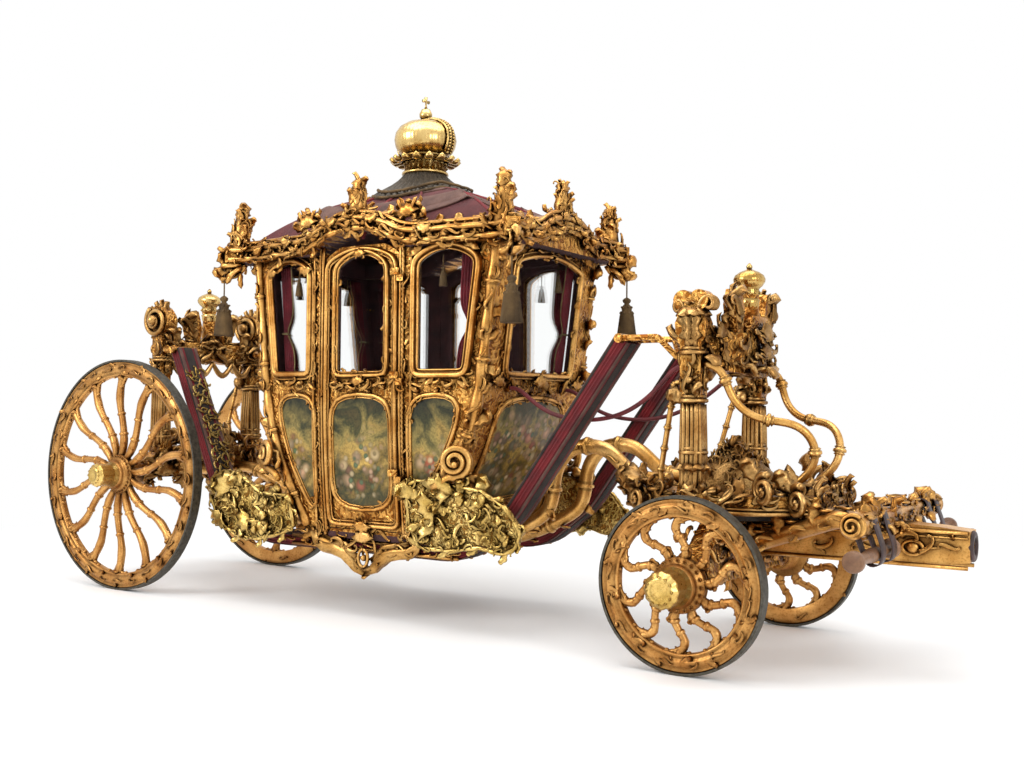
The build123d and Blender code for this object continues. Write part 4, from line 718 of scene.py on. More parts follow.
def panel_loop(left, right, z0, z1, n=15):
    """Rows of a painted panel: left(z) and right(z) give its sides, drawn in at top and bottom."""
    rows = []
    for k in range(n):
        t = -math.cos(math.pi * k / (n - 1))
        z = (z0 + z1) / 2 + t * (z1 - z0) / 2
        s = (1 - abs(t) ** 7) ** .42 if abs(t) < 1 else .02
        a, b = left(z), right(z)
        mid, half = (a + b) / 2, (b - a) / 2 * max(s, .02)
        rows.append((mid - half, mid + half, z))
    return rows


def panel(pile_art, pile_frame, rows, surface, size):
    """A painted panel with its carved frame, on a surface function."""
    pts = [(a + (b - a) * k / 12, z) for a, b, z in rows for k in range(13)]
    p, n = surface(pts)
    v = p + n * .004
    pile_art.add((v, grid(len(rows), 13, False)))
    loop = [(a, z) for a, b, z in rows] + [(b, z) for a, b, z in reversed(rows)]
    loop = [q[:2] for q in resample(loop + loop[:1], n=60)][:-1]
    p, n = surface(loop)
    moulding(pile_frame, p, n, bead(.02, .02))
    garnish(pile_frame, *ringed(p, n), size, size * 1.7, "c leaf s back", .3, .012)


ENDS = ((1, "front"), (-1, "rear"))
HANDS = ("right", "left")
carving, glow = Pile(), Pile()

# ---- side windows and quarter panels (coach's right, mirrored)
for sense, end in reversed(ENDS):
    mid_x = sense * .62
    loop = rounded(arch_loop(sense * .435, sense * .8, sense * .885, GLASS_Z0, SPRING, RISE + .02))
    p, n = on_side(loop)
    moulding(carving, p, n, bead(.03, .042))
    q, m = on_side([((x - mid_x) * 1.13 + mid_x, (z - GLASS_MID) * 1.055 + GLASS_MID) for x, z in loop])
    garnish(carving, *ringed(q, m), .07, .1, VINE, .2, .01, flip=sense > 0)
    top = on_side([(sense * (.48 + .35 * k / 8), SPRING + .06 * math.sin(math.pi * k / 8) + .04) for k in range(9)])
    garnish(carving, *top, .1, .1, "shell leaf c leaf", .3, .02)
    sides = [lambda z, s=sense, pick=pick: pick(s * .395, s * (half_len(z) - .135)) for pick in (min, max)]
    art = Pile()
    panel(art, carving, panel_loop(*sides, .7, 1.43), on_side, .055)
    paint = painted(f"quarter_paint_{sense + 2}", 1.3 + sense, BX + sense * .6, .98, .22)
    art.piece(f"painted_quarter_{end}", "coach", paint, "painted_panel")
    low = on_side([(sense * (.34 + .2 * k / 6), .545 + .03 * math.sin(k)) for k in range(7)])
    garnish(carving, *low, .11, .1, "broad leaf s leaf", .3, .015)

# ---- rail under the side windows
for x0, x1 in ((-.86, -.35), (.35, .86)):
    rail = on_side([(x, 1.495 + .02 * math.cos(9 * x)) for x in np.linspace(x0, x1, 14)])
    garnish(carving, *rail, .085, .055, "c leaf s back j leaf", .3, .018, flip=x0 > 0)

# ---- plain strips and a beaded strip up the door posts
for x, r in ((.326, .012), (.348, .009), (.408, .011)):
    for sense in (-1, 1):
        strip, ns = on_side([(sense * x, z) for z in np.linspace(.53, 2.42, 30)])
        carving.rod(strip + ns * .006, r * (1 + .1 * np.sin(np.arange(30) * 2.1)))
        if r < .01:
            carving.rod(resample(strip + ns * .012, n=121), np.where(np.arange(121) % 2, .0115, .0045), 5)

# ---- carving up the door posts
for x in (-.365, .365):
    post, n = on_side([(x + .015 * math.sin(6 * z), z) for z in np.linspace(.56, 2.4, 30)])
    garnish(carving, post + (.012 * np.sign(x), 0, 0), n, .08, .13, VINE, .2, .008, flip=x > 0)

# ---- end walls
for sense, tag in ENDS:
    loop = rounded(arch_loop(-.4, .4, .4, GLASS_Z0, SPRING, RISE))
    half = sorted((q for q in loop if q[0] < .004), key=lambda q: math.atan2(q[0], q[1] - GLASS_MID))
    p, n = on_end(half, sense)
    section = bead(.024, .03)
    moulding(carving, p, n, section if sense < 0 else [(-a, c) for a, c in reversed(section)], closed=False)
    garnish(carving, p, n, .08, .09, VINE, .25, .014)
    rail = on_end([(y, 1.49) for y in np.linspace(-.47, 0, 8)], sense)
    garnish(carving, *rail, .11, .075, "roc leaf s back c leaf", .3, .018)
    crest = on_end([(y, 2.33 + .03 * math.cos(4 * y)) for y in np.linspace(-.4, 0, 6)], sense)
    garnish(carving, *crest, .11, .1, "roc leaf j leaf", .3, .02)
    art = Pile()
    panel(art, carving, panel_loop(lambda z: -.4, lambda z: .4, .76, 1.42), lambda pts, s=sense: on_end(pts, s), .06)
    paint = painted(f"end_paint_{tag}", 4.2 + sense, BX + sense * .8, 1.02, .34)
    art.piece(f"painted_{tag}_wall", "coach", paint, "painted_panel", "right")


def volute(turns, r0, r1, n, at, u, v=Z, drift=(0, 0, 0)):
    """A coil of n points in the plane of u and v, from radius r0 to r1, stepping along drift."""
    coil = zip(np.linspace(*turns, n), np.linspace(r0, r1, n))
    return np.array([np.asarray(at) + (u * math.cos(a) + v * math.sin(a)) * r + np.multiply(drift, k)
                     for k, (a, r) in enumerate(coil)])


# ---- corner posts: knuckled shafts with volutes and leaves
for sense in (-1, 1):
    line = np.array([(BX + sense * (half_len(z) - .035), .015 - half_wid(half_len(z) - .05, z), z)
                     for z in np.linspace(.56, 2.42, 44)])
    nrm = np.tile(unit((.55 * sense, -.83, 0)), (len(line), 1))
    shaft = line + nrm * .012
    carving.rod(shaft, .036 + .005 * np.sin(np.arange(44) * 1.1))
    knuckles(carving, shaft, .036, .47, 1.25, .8)
    garnish(carving, shaft[4:], nrm[4:], .105, .085, "s leaf c broad", .25, .026, flip=sense > 0)
    garnish(carving, shaft[4:], np.tile(unit((sense, -.1, 0)), (40, 1)), .09, .14, "leaf c back s", .25, .026)
    # volute at the foot
    foot_z, n = 1.03, 46
    o = np.array([BX + sense * (half_len(foot_z) + .02), -(half_wid(half_len(foot_z) - .05, foot_z) + .05), foot_z])
    out, along = unit((sense * .4, -.9, 0)), unit((sense * .9, .4, 0))
    coil = volute((-1.9, 11.5), .098, .0196, n, o - along * .02 + out * .018, along, drift=out * .001)
    stem = [o + along * x + Z * z for x, z in ((-.17, -.16), (-.12, -.135))]
    glow.rod(np.vstack([stem, coil]), np.concatenate([[.02, .024], np.linspace(.027, .012, n)]), 7)
    glow.add(ball(.022, 10, 6), place(coil[-1] - along * .004, X, out))
    glow.add(BROAD, place(o - along * .1 - Z * .1, along * .5 + Z * .9, out, .15))
    glow.add(LEAF, place(o + along * .04 - Z * .09, along - Z * .3, out, .13))

carving.piece("cabin_carving", "coach", GOLD, "gilded_wood")
glow.piece("corner_volutes", "coach", PALE, "gilded_wood")

# ---------------------------------------------------------------- doors
door = Pile()
for half, z0, spring, rise, size in ((.215, GLASS_Z0, SPRING, RISE, .07), (.285, .6, 2.285, .06, .055)):
    p, n = on_side(rounded(arch_loop(-half, half, half, z0, spring, rise + .02, 12)))
    moulding(door, p, n, bead(.022, .028))
    garnish(door, *ringed(p, n), size, size * 1.15, VINE, .25, .012)
art = Pile()
panel(art, door, panel_loop(lambda z: -.25, lambda z: .25, .7, 1.43), on_side, .05)
rail = on_side([(x, 1.5) for x in np.linspace(-.25, .25, 9)])
garnish(door, *rail, .085, .055, "leaf c back s j", .3, .02)
(crest, head, foot), n = on_side([(0, 1.5), (0, 2.315), (0, .62)])
door.add(SHELL, place(crest + n[0] * .025 - Z * .01, Z, n[0], .065))
for sg in (-1, 1):
    door.add(C, place(crest + n[0] * .03 + (sg * .065, 0, .01), (sg * .8, 0, .5), n[0] * sg, .13))
    door.add(LEAF, place(crest + n[0] * .02 + (sg * .02, 0, .02), (sg * .5, 0, 1), n[0], .085))
    door.add(VOLUTE, place(crest + n[0] * .02 + (sg * .12, 0, -.01), (sg, 0, .1), n[0], .11))
door.add(ROCAILLE, place(head + n[1] * .02, Z, n[1], .1))
door.add(ROCAILLE, place(foot + n[2] * .02, -Z, n[2], .14))
for hand in HANDS:
    door.piece(f"door_carving_{hand}", f"door_{hand}", GOLD, "gilded_wood", hand)
    paint = painted(f"door_paint_{hand}", 7.7, BX, .97, .26)
    art.piece(f"painted_door_{hand}", f"door_{hand}", paint, "painted_panel", hand)

# ---------------------------------------------------------------- cornice
TIP_Z = 2.4


def rise_at(t):
    return TIP_Z + .12 * max(0, 1 - t * t)


cornice = Pile()
corner = [(.37, .73), (1.06, .667), (1.165, .745), (1.235, .685), (1.16, .56), (1.15, .3)]
quarter = [(x, .735, rise_at(x / .43)) for x in np.linspace(0, .37, 8)][:-1] + [(x, y, TIP_Z) for x, y in corner]
quarter += [(1.15, y, rise_at(y / .43)) for y in np.linspace(.3, 0, 7)][1:]
# columns: height above the line, tilt of the forms, size, step, forms, jitter, lift
CORNICE_RUNS = [(0, 0, .09, .06, "leaf s back c", .3, .032), (-.045, -.3, .085, .085, "leaf c back s", .3, .026),
                (.058, .3, .09, .085, "c out roc s broad", .4, .018)]
for sx in (-1, 1):
    line = smoothed(resample([(BX + sx * x, -y, z) for x, y, z in quarter], .03), 14)
    nrm = np.array([unit((.6 * (q[0] - BX) / 1.2, q[1] / .7, 0)) if abs(q[0] - BX) < .95
                    else unit(((q[0] - BX) / 1.2, .55 * q[1] / .7, 0)) for q in line])
    cornice.rod(line + nrm * .012 - Z * .03, .02 + .005 * np.sin(np.arange(len(line)) * 1.3), 7)
    cornice.rod(line + nrm * .014 + Z * .034, .021, 7)
    cornice.rod(line - nrm * .01 + Z * .075, .016, 6)
    for up_by, tilt, *run in CORNICE_RUNS:
        garnish(cornice, line + Z * up_by, nrm + Z * tilt, *run, flip=sx > 0)
    garnish(cornice, line + Z * .085 - nrm * .03, Z + nrm * .5, .085, .1, "out j out c", .4)
    # bracket under the tip
    tip = np.array([BX + sx * 1.17, -.69, 2.36])
    out = unit((sx, -.7, 0))
    for a, s in ((-.5, .22), (-1.1, .2), (.2, .16)):
        cornice.add(VOLUTE, place(tip - out * .1 - Z * .02, spin(a, out, Z), np.cross(out, Z), s))
    for _ in range(5):
        grow = spin(rng.uniform(-1.2, 1.2), out, Z)
        face = unit((sx * rng.uniform(-1, 1), -rng.uniform(.2, 1), .3))
        cornice.add(BROAD, place(tip - Z * .03, grow, face, rng.uniform(.11, .15)))
cornice.piece("cornice_carving", "coach", GOLD, "gilded_wood")


# ---------------------------------------------------------------- finials
def bouquet(pile, o, h, w, face, n):
    """A flaming tuft of leaves and scrolls about a stem."""
    o, face = np.asarray(o, float), unit(face)
    across = unit(np.cross(Z, face))
    for k in range(n):
        t = (k + .5) / n
        side = 1 if k % 2 else -1
        radial = unit(spin(rng.uniform(0, 6.3), across, face))
        at = o + Z * h * (.05 + .72 * t) + radial * w * (1.15 - .85 * t) * .55
        grow = unit(radial * side * (1 - t) * 1.3 + Z)
        pile.add((LEAF, BROAD, S, C, J)[k % 5], place(at, grow, unit(radial + face * .6), h * rng.uniform(.28, .42)))
    pile.rod([o, o + Z * h * .5, o + Z * h * .86], [w * .5, w * .36, w * .12])
    for facing in (face, -face):
        pile.add(BROAD, place(o + Z * h * .62, Z, facing, h * .38))


tufts = Pile()
for sx in (-1, 1):
    bouquet(tufts, (BX + sx * 1.1, -.655, 2.44), .31, .14, (sx * .5, -1, 0), 24)
bouquet(tufts, (BX, -.69, 2.545), .27, .145, -Y, 26)
for x in (-.42, .42):
    o = np.array([BX + x, -.7, 2.53])
    tufts.add(ROCAILLE, place(o, Z, (0, -1, .1), .17))
    tufts.add(ROCAILLE, place(o, Z, (0, 1, .1), .15))
    for a in (-1.3, -.65, 0, .65, 1.3):
        tufts.add(BROAD, place(o + X * .03 * math.sin(a), spin(a, Z, X), -Y, .11))
tufts.piece("side_finials", "coach", GOLD, "gilt_bronze", replaces=("finials",))
tufts = Pile()
for sx in (-1, 1):
    bouquet(tufts, (BX + sx * 1.11, 0, 2.545), .26, .13, (sx, 0, 0), 26)
tufts.piece("end_finials", "coach", GOLD, "gilt_bronze", "right")


# ---------------------------------------------------------------- roof
def vault(x, y):
    return min(1.2314 + math.sqrt(max(0, 1.5986 ** 2 - x * x)), 2.1172 + math.sqrt(max(0, .713 ** 2 - y * y)))


ribs, bands = Pile(), Pile()
for c, s, _ in round_about(16):
    pts = []
    for share in np.linspace(.3, 1, 14):
        x, y = 1.06 * share * c, .64 * share * s
        k = min(1.06 / max(abs(x) / share, 1e-6), .64 / max(abs(y) / share, 1e-6), 1.4)
        x, y = x * k, y * k
        if vault(x, y) < 2.43:
            break
        pts.append((BX + x, y, vault(x, y) + .004))
    if len(pts) > 3:
        ribs.rod(pts, .011)
for share, width in ((.42, .055), (.8, .105)):
    p, n = [], []
    for c, s, _ in round_about(72):
        q = (abs(c) ** 3.2 + abs(s) ** 3.2) ** (-1 / 3.2)
        x, y = 1.04 * share * c * q, .62 * share * s * q
        p.append((BX + x, y, vault(x, y) + .002))
        e = .01
        n.append(unit(((vault(x - e, y) - vault(x + e, y)) / (2 * e), (vault(x, y - e) - vault(x, y + e)) / (2 * e), 1)))
    moulding(bands, p, n, bead(width, .01))
ribs.piece("roof_piping", "coach", VELVET, "crimson_velvet", "right")
bands.piece("roof_braid", "coach", BRAID2, "crimson_velvet", "right")


def foot_of_cone(a):
    return vault(.345 * math.cos(a), .345 * math.sin(a))


cone, folds = Pile(), 216
# columns: radius, share of the height
rows = [(.345, 0), (.35, .1), (.325, .24), (.272, .44), (.222, .62), (.182, .8), (.156, .95), (.15, 1), (.02, 1)]
ring = []
for r, share in rows:
    for j in range(folds):
        a = 2 * math.pi * j / folds
        pleat = 1 + (.045 * math.cos(36 * a + .4 * math.sin(5 * a)) - .02 if share < .97 else 0)
        scallop = 1 + (.06 * abs(math.sin(9 * a)) - .05 if share < .05 else 0)
        low = foot_of_cone(a) + .006
        ring.append(X * BX + spin(a) * r * pleat * scallop + Z * (low + (2.955 - low) * share ** 1.15))
cone.add((np.array(ring), grid(len(rows), folds)))
cone.piece("roof_cone_pleats", "coach", PEWTER, "pewter_cloth", "right", ("roof_cone",))
cone = Pile()
for r, lift in ((.352, .012), (.318, .055)):
    pts = np.array([X * BX + spin(a) * r * (1 + .03 * abs(math.sin(9 * a))) + Z * (foot_of_cone(a) + lift)
                    for a in np.linspace(0, 2 * math.pi, 91)])
    cone.rod(pts, .01, 6)
    garnish(cone, pts, Z, .05, .11, "slim", .2, .004)
cone.piece("roof_cone_braid", "coach", BULLION, "bullion", "right")

crown, cx = Pile(), X * BX
circlet = [(.15, 2.955), (.162, 2.962), (.16, 2.975), (.146, 2.985), (.138, 3.02), (.142, 3.065), (.154, 3.078),
           (.16, 3.088), (.15, 3.098), (.02, 3.1)]
dome = [(.15, 3.096), (.182, 3.115), (.205, 3.155), (.214, 3.205), (.205, 3.25), (.178, 3.29), (.13, 3.32), (.07, 3.337),
        (.015, 3.343)]
orb = [(.004, 3.339), (.03, 3.346), (.044, 3.37), (.045, 3.39), (.03, 3.42), (.004, 3.429)]
crown.turn(circlet, 48, cx)
crown.turn(dome, 144, cx, ripple=fluted(48, .006))
crown.turn(orb, 24, cx)
for d in round_about(16):
    crown.add(BROAD, place(cx + d * .145 + Z * 3.085, d * .9 + Z * .45, d * .3 + Z * .9, .105))
    crown.add(SLIM, place(cx + d * .165 + Z * 3.1, d * .3 + Z * .9, d, .085))
    crown.add(BALL, place(cx + d * .14 + Z * 3.04, d, Z, .017))
half_arch = [(.19, 3.1), (.209, 3.15), (.216, 3.205), (.207, 3.25), (.18, 3.29), (.132, 3.322), (.07, 3.34)]
arch = [(BX + sx * (r + .005), 0, z) for sx, part in ((-1, half_arch), (1, half_arch[::-1])) for r, z in part]
arch = fillet(arch, .05, 2)
for y, r in ((-.034, .009), (0, .01), (.034, .009)):
    crown.rod(arch + (0, y, 0 if y else .004), r, 6)
for y in (-.017, .017):
    for q in resample(arch, .02):
        outward = unit(q - (BX, 0, 3.2))
        crown.add(BALL, place(q + Y * y + outward * .006, Y, outward, .012))
arm_z, bar = 3.478, [.013, .006, .013]
crown.rod([(BX, 0, z) for z in (3.425, 3.45, arm_z, 3.506)], [.012, .006, .006, .013])
crown.rod([(BX, y, arm_z) for y in (-.03, 0, .03)], bar)
crown.piece("roof_crown_dressed", "coach", CROWN, "gilt_bronze", "right", ("roof_crown",))


# ---------------------------------------------------------------- wheels
def wheel_point(r, c, th, sway=0):
    return np.array([r * math.cos(th) - c * sway * math.sin(th), 0, -(r * math.sin(th) + c * sway * math.cos(th))])


def spoke_line(r0, r1, th, sway, n=18):
    s = np.linspace(0, 1, n)
    c = np.interp(s, [0, .12, .24, .36, .48, .6, .72, .86, 1], [0, .8, 1, .75, .2, -.55, -.9, -.6, .3])
    return np.array([wheel_point(r0 + (r1 - r0) * a, b, th, sway) for a, b in zip(s, c)]), s


def dress_wheel(tag, cx, rad, felloe, n, w, sway, nose_r, nose_y):
    """One wheel seen from the coach's right: felloe, scrolled spokes, nave and bronze cap."""
    wood, cap = Pile(), Pile()
    centre, out = np.array([cx, -WY, rad]), -Y
    ro = rad - .0143                # felloe's outer and inner radius, half its depth
    ri = ro - felloe
    h = .031
    ring = [(ri, -h * .8), (ri - .004, 0), (ri, h * .8), (ri + .01, h), (ri + .02, h * .7), (ri + .032, h * 1.05),
            (ri + .5 * felloe, h * 1.3), (ro - .03, h * 1.05), (ro - .02, h * .75), (ro - .01, h), (ro, h * .9),
            (ro, -h * .9), (ro - .01, -h), (ro - .3 * felloe, -h * 1.2), (ri + .02, -h), (ri, -h * .8)]
    wood.turn(ring, 80, centre, out)
    for k in range(n):
        p, s = spoke_line(.115, ri + .012, math.pi / 2 + 2 * math.pi * k / n, sway)
        swell = [a * np.exp(-((s - at) / b) ** 2) for a, at, b in ((.12, .2, .1), (.1, .74, .09))]
        r = w * (.5 + swell[0] + swell[1] + .12 * s ** 6)
        wood.rod(p + centre, r * 1.12, 8, .95, out)
        t = np.gradient(p, axis=0)
        for i, sz in ((1, 2.2), (7, 2)):
            wood.add(LEAF, place(p[i] + centre + out * r[i] * .75, t[i], out, w * sz))
        for i in (5, 9):
            collar = [(r[i] * a, b) for a, b in ((1, -.014), (1.4, -.006), (1.4, .005), (1, .014))]
            wood.turn(collar, 8, p[i] + centre, t[i], out)
        # a foot on each side, running out along the felloe and ending in an eye
        to = math.atan2(-p[-1][2], p[-1][0])
        for sg in (1, -1):
            along = [wheel_point(ri + dr, 0, to + sg * share * 2 * math.pi / n)
                     for dr, share in ((-.004, .1), (0, .2), (.002, .29))]
            foot = fillet([p[11], p[14], *along], .05, 3)
            wood.rod(foot + centre, np.linspace(w * .5, w * .24, len(foot)), 7, .95, out)
            wood.add(ball(w * .4, 8, 6), place(foot[-1] + centre + out * .004, X, out))
        wood.add(BROAD, place(p[-4] + centre + out * .022, t[-1], out, felloe))
    mid = np.array([centre + (ri + .5 * felloe) * spin(a, X, Z) for a in np.linspace(0, 2 * math.pi, 120)])
    garnish(wood, mid, out, felloe * .78, felloe * .8, VINE, .12, h * 1.3)
    garnish(wood, mid, -out, felloe * .78, felloe * 2.6, "s leaf", .1, h * 1.15)
    back = -.15
    nave = [(.02, back), (.077, back), (.095, back + .018), (.103, -.026), (.143, -.024), (.146, -.01), (.136, 0),
            (.146, .012), (.142, .024), (.116, .038), (nose_r + .022, .056), (nose_r + .026, .066), (nose_r + .01, .082)]
    wood.turn(nave, 48, centre, out)
    for d in round_about(2 * n, 0, X, Z):
        wood.add(LEAF, place(centre + d * .098 + out * .04, d, out, .045))
    tip = nose_y - WY
    # the cap: first by what is added to the nose's radius, then by shares of it towards the tip
    nose = [(nose_r + dr, z) for dr, z in ((.008, .07), (.016, .085), (-.004, .1), (.006, .12), (.002, tip - .055),
                                           (.01, tip - .042), (.004, tip - .028))]
    nose += [(nose_r * a, tip - dz) for a, dz in ((.84, .016), (.8, .01), (.55, .004), (.5, .008), (.2, .001))]
    nose.append((.001, tip - .001))
    cap.turn(nose, 72, centre, out, ripple=lambda a, s: 1 + .03 * np.cos(12 * a) * np.sin(math.pi * s))
    for d in round_about(12, 0, X, Z):
        cap.add(LEAF, place(centre + d * nose_r * .25 + out * (tip - .01), d, out, nose_r * .62))
        cap.add(SLIM, place(centre + d * (nose_r + .004) + out * (tip - .05), -out, d, .06))
    for hand in HANDS:
        body = f"wheel_{tag}_{hand}"
        wood.piece(f"{body}_carved", body, WHEEL, "gilded_wood", hand, (body,))
        cap.piece(f"{body}_cap", body, BRONZE, "gilt_bronze", hand)


dress_wheel("rear", RAX, RR, .105, 14, .044, .03, .075, 1.035)
dress_wheel("front", FAX, FR, .095, 10, .038, .032, .085, 1.05)


# ---------------------------------------------------------------- straps
def belt(pile, p, section):
    """A closed section (across, up) drawn along a line in an upright plane. Returns its upward normals."""
    t = np.gradient(p, axis=0)
    t /= np.linalg.norm(t, axis=1)[:, None]
    a = np.tile(Y, (len(p), 1))
    u = np.cross(t, a)
    u *= np.where(u[:, 2] < 0, -1, 1)[:, None]
    s = np.asarray(section, float)
    v = p[:, None] + s[None, :, :1] * a[:, None] + s[None, :, 1:] * u[:, None]
    pile.add((v.reshape(-1, 3), grid(len(p), len(s))))
    return u


def padded_section(hw, ht, r=.02):
    """A flat section of half width hw and half height ht with rounded corners."""
    corners = ((hw - r, ht - r, 0), (r - hw, ht - r, 90), (r - hw, r - ht, 180), (hw - r, r - ht, 270))
    return [(cx + r * math.cos(math.radians(a0 + 30 * k)), cz + r * math.sin(math.radians(a0 + 30 * k)))
            for cx, cz, a0 in corners for k in range(4)]


def box_section(y, z, hw, hh):
    return [(y - hw, z - hh), (y + hw, z - hh), (y + hw, z + hh), (y - hw, z + hh)]


strap_line = fillet([(x, -STRAP_Y, z) for x, z in ((-2.185, 1.77), (-1.64, .61), (-1.18, .452), (.48, .452), (.82, .72),
                                                   (1.56, 1.745))], [.26, .5, .42, .4], 10)
strap_line = resample(strap_line, .05)
velvet, rose, grey = Pile(), Pile(), Pile()
strap_up = belt(velvet, strap_line, padded_section(STRAP_HALF, .043))
for off in (-.07, .07):
    for z in (.043, -.043):
        belt(rose, strap_line, box_section(off, z, .013, .003))
for z in (.044, -.044):
    belt(grey, strap_line, box_section(0, z, .036, .003))
for y in (-STRAP_HALF, STRAP_HALF):
    belt(grey, strap_line, box_section(y, .034, .003, .006))
    for z in (-.03, -.006, .012):
        belt(velvet, strap_line, box_section(y, z, .004, .004))
velvet.piece("strap_velvet", "coach", VELVET, "dark_strap", replaces=("straps",))
rose.piece("strap_borders", "coach", BRAID2, "dark_strap")
grey.piece("strap_bands", "coach", BRAID, "dark_strap")

# openwork gilt plates on the upper faces of the rear straps
plates = Pile()
open_part = (strap_line[:, 0] > -2.1) & (strap_line[:, 0] < -1.6) & (strap_line[:, 2] > .6)
q, u = strap_line[open_part], strap_up[open_part]
for y, kinds in ((-.06, "c s j eye"), (-.03, "j c eye s"), (0, "s eye c j"), (.03, "eye j s c"), (.06, "c j s s")):
    garnish(plates, q + (0, y, 0) + u * .043, u, .074, .062, kinds, 1.2, .002)
plates.piece("strap_plates", "coach", BRONZE, "gilt_bronze")


def fill_region(pile, poly, y, size, count, kinds, seed, depth):
    """Carving scattered over an upright region, kept apart and inside its outline."""
    g = np.random.default_rng(seed)
    poly = np.asarray(poly, float)

    def inside(x, z):
        hit = False
        for (x1, z1), (x2, z2) in zip(poly, np.roll(poly, -1, 0)):
            if (z1 > z) != (z2 > z) and x < (x2 - x1) * (z - z1) / (z2 - z1) + x1:
                hit = not hit
        return hit

    low, high = poly.min(0), poly.max(0)
    mid = poly.mean(0)
    done, tries = [], 0
    gap = size * .55
    while len(done) < count and tries < 4000:
        tries += 1
        x, z = g.uniform(low, high)
        if not inside(x, z) or any(math.hypot(x - a, z - c) < gap for a, c in done):
            continue
        done.append((x, z))
        kind = kinds[len(done) % len(kinds)]
        away = math.atan2(z - mid[1], x - mid[0]) + g.normal(0, .9)
        nrm = unit((g.normal(0, .25), -1, g.normal(0, .25)))
        pile.add(kind, place((x, y - g.uniform(0, depth), z), spin(away, X, Z), nrm,
                             size * g.uniform(.75, 1.25)))


front_shell = [(.15, .87), (.23, .905), (.52, .88), (.7, .86), (.88, .77), (.985, .64), (.95, .54), (.86, .5),
               (.7, .53), (.48, .49), (.25, .5), (.165, .64)]
rear_shell = [(-1.6, .85), (-1.45, .9), (-1.3, .87), (-1.12, .76), (-.86, .76), (-.81, .56), (-.93, .5), (-1.15, .45),
              (-1.36, .46), (-1.54, .56), (-1.62, .72)]
shells = Pile()
for poly, seed in ((front_shell, 3), (rear_shell, 5)):
    middle = np.mean(poly, axis=0)
    inner = [tuple(middle + .8 * (np.array(q) - middle)) for q in poly]
    fill_region(shells, inner, -.662, .145, 24, [BROAD, C2, SHELL, S2, BROAD, C2], seed + 20, .004)
    fill_region(shells, inner, -.678, .085, 30, [C2, LEAF, BROAD, J], seed + 40, .006)
    rim = resample(np.array([(x, -.664, z) for x, z in poly + poly[:1]]), .03)
    shells.rod(rim, .013 + .004 * np.sin(np.arange(len(rim)) * 1.3), 6)
    garnish(shells, rim, -Y, .078, .055, "leaf c back s", .3, .004)
shells.piece("strap_rocaille", "coach", BRONZE, "gilt_bronze")

apron = Pile()
for sg in (-1, 1):
    for pts, r in (([(.44, .53), (.415, .47), (.36, .435), (.26, .425), (.18, .405), (.12, .36), (.07, .315), (0, .292)],
                    .04), ([(.36, .5), (.27, .475), (.17, .455), (.1, .4), (.05, .37)], .026)):
        rim = fillet([(BX + sg * x, -.578, z) for x, z in pts], .04, 3)
        apron.rod(rim, r * (.75 + .35 * np.sin(np.linspace(0, math.pi, len(rim)))), hint=-Y, section=BAND)
    for x, z, form, size, a in ((.33, .465, S2, .17, 2.9), (.24, .46, C2, .16, .3), (.16, .44, J, .15, 3.6),
                                (.4, .5, J, .14, 2.2), (.1, .46, S2, .15, 2.2), (.05, .34, C2, .11, 4.9)):
        apron.add(form, place((BX + sg * x, -.585, z), (sg * math.cos(a), 0, math.sin(a)), -Y, size))
    loop = np.array([(BX + sg * .04 * math.sin(a), -.6, .385 + .055 * math.cos(a))
                     for a in np.linspace(0, math.pi, 13)])
    apron.rod(loop, .011, 6)
apron.add(ball(.022, 12, 8), place((BX, -.592, .385), X, -Y))
apron.add(SHELL, place((BX, -.595, .475), Z, -Y, .1))
apron.add(BROAD, place((BX, -.59, .335), -Z, -Y, .085))
apron.piece("door_apron", "coach", PALE, "gilt_bronze", replaces=("door_pendants",))
base = Pile()
for x0, x1 in ((-.95, -.45), (-.1, .42)):
    garnish(base, [(x, -.56, .535) for x in np.linspace(x0, x1, 12)], (0, -1, -.2), .11, .08, VINE, .4, .01)
under = np.array([(x, -.3, .497) for x in np.linspace(BX - .48, BX + .48, 14)])
garnish(base, under, -Z, .12, .12, "s leaf", .3, 0)
for z in (.43, .48):
    base.rod([(x, -.545, z) for x in np.linspace(-.93, .46, 8)], .013, 6)
garnish(base, [(x, -.552, .455) for x in np.linspace(-.93, .46, 18)], -Y, .085, .085, VINE, .2, .006)
base.piece("cabin_base_carving", "coach", GOLD, "gilded_wood")

# ---------------------------------------------------------------- perches, rods and stays
perch = Pile()
perch_line = [(1.71, .9463), (1.48, .9463), (1.29, 1.13), (1.05, 1.13), (.93, .98), (.92, .72), (.6, .56), (.25, .446),
              (-.85, .446), (-1.7, .7), (-2.11, .875), (-2.37, .875)]
perch_line = fillet([(x, -.2, z) for x, z in perch_line], [.11, .12, .09, .09, .17, .25, .5, .5, .5, .3], 8)
perch_line = smoothed(resample(perch_line, .035), 6)
perch.rod(perch_line, PERCH_R, 14)
knuckles(perch, perch_line, PERCH_R, .4, 1.12, .8, 14)
perch.piece("perches_turned", "coach", PALE, "gilded_wood", replaces=("perches",))
perch = Pile()
garnish(perch, perch_line[7:34] - Y * PERCH_R, -Y, .09, .16, "leaf s", .4, 0)
garnish(perch, perch_line[38:-4] + (0, 0, -.04), -Z, .12, .14, "s leaf c", .4, 0)
perch.piece("perch_leaves", "coach", GOLD, "gilded_wood")

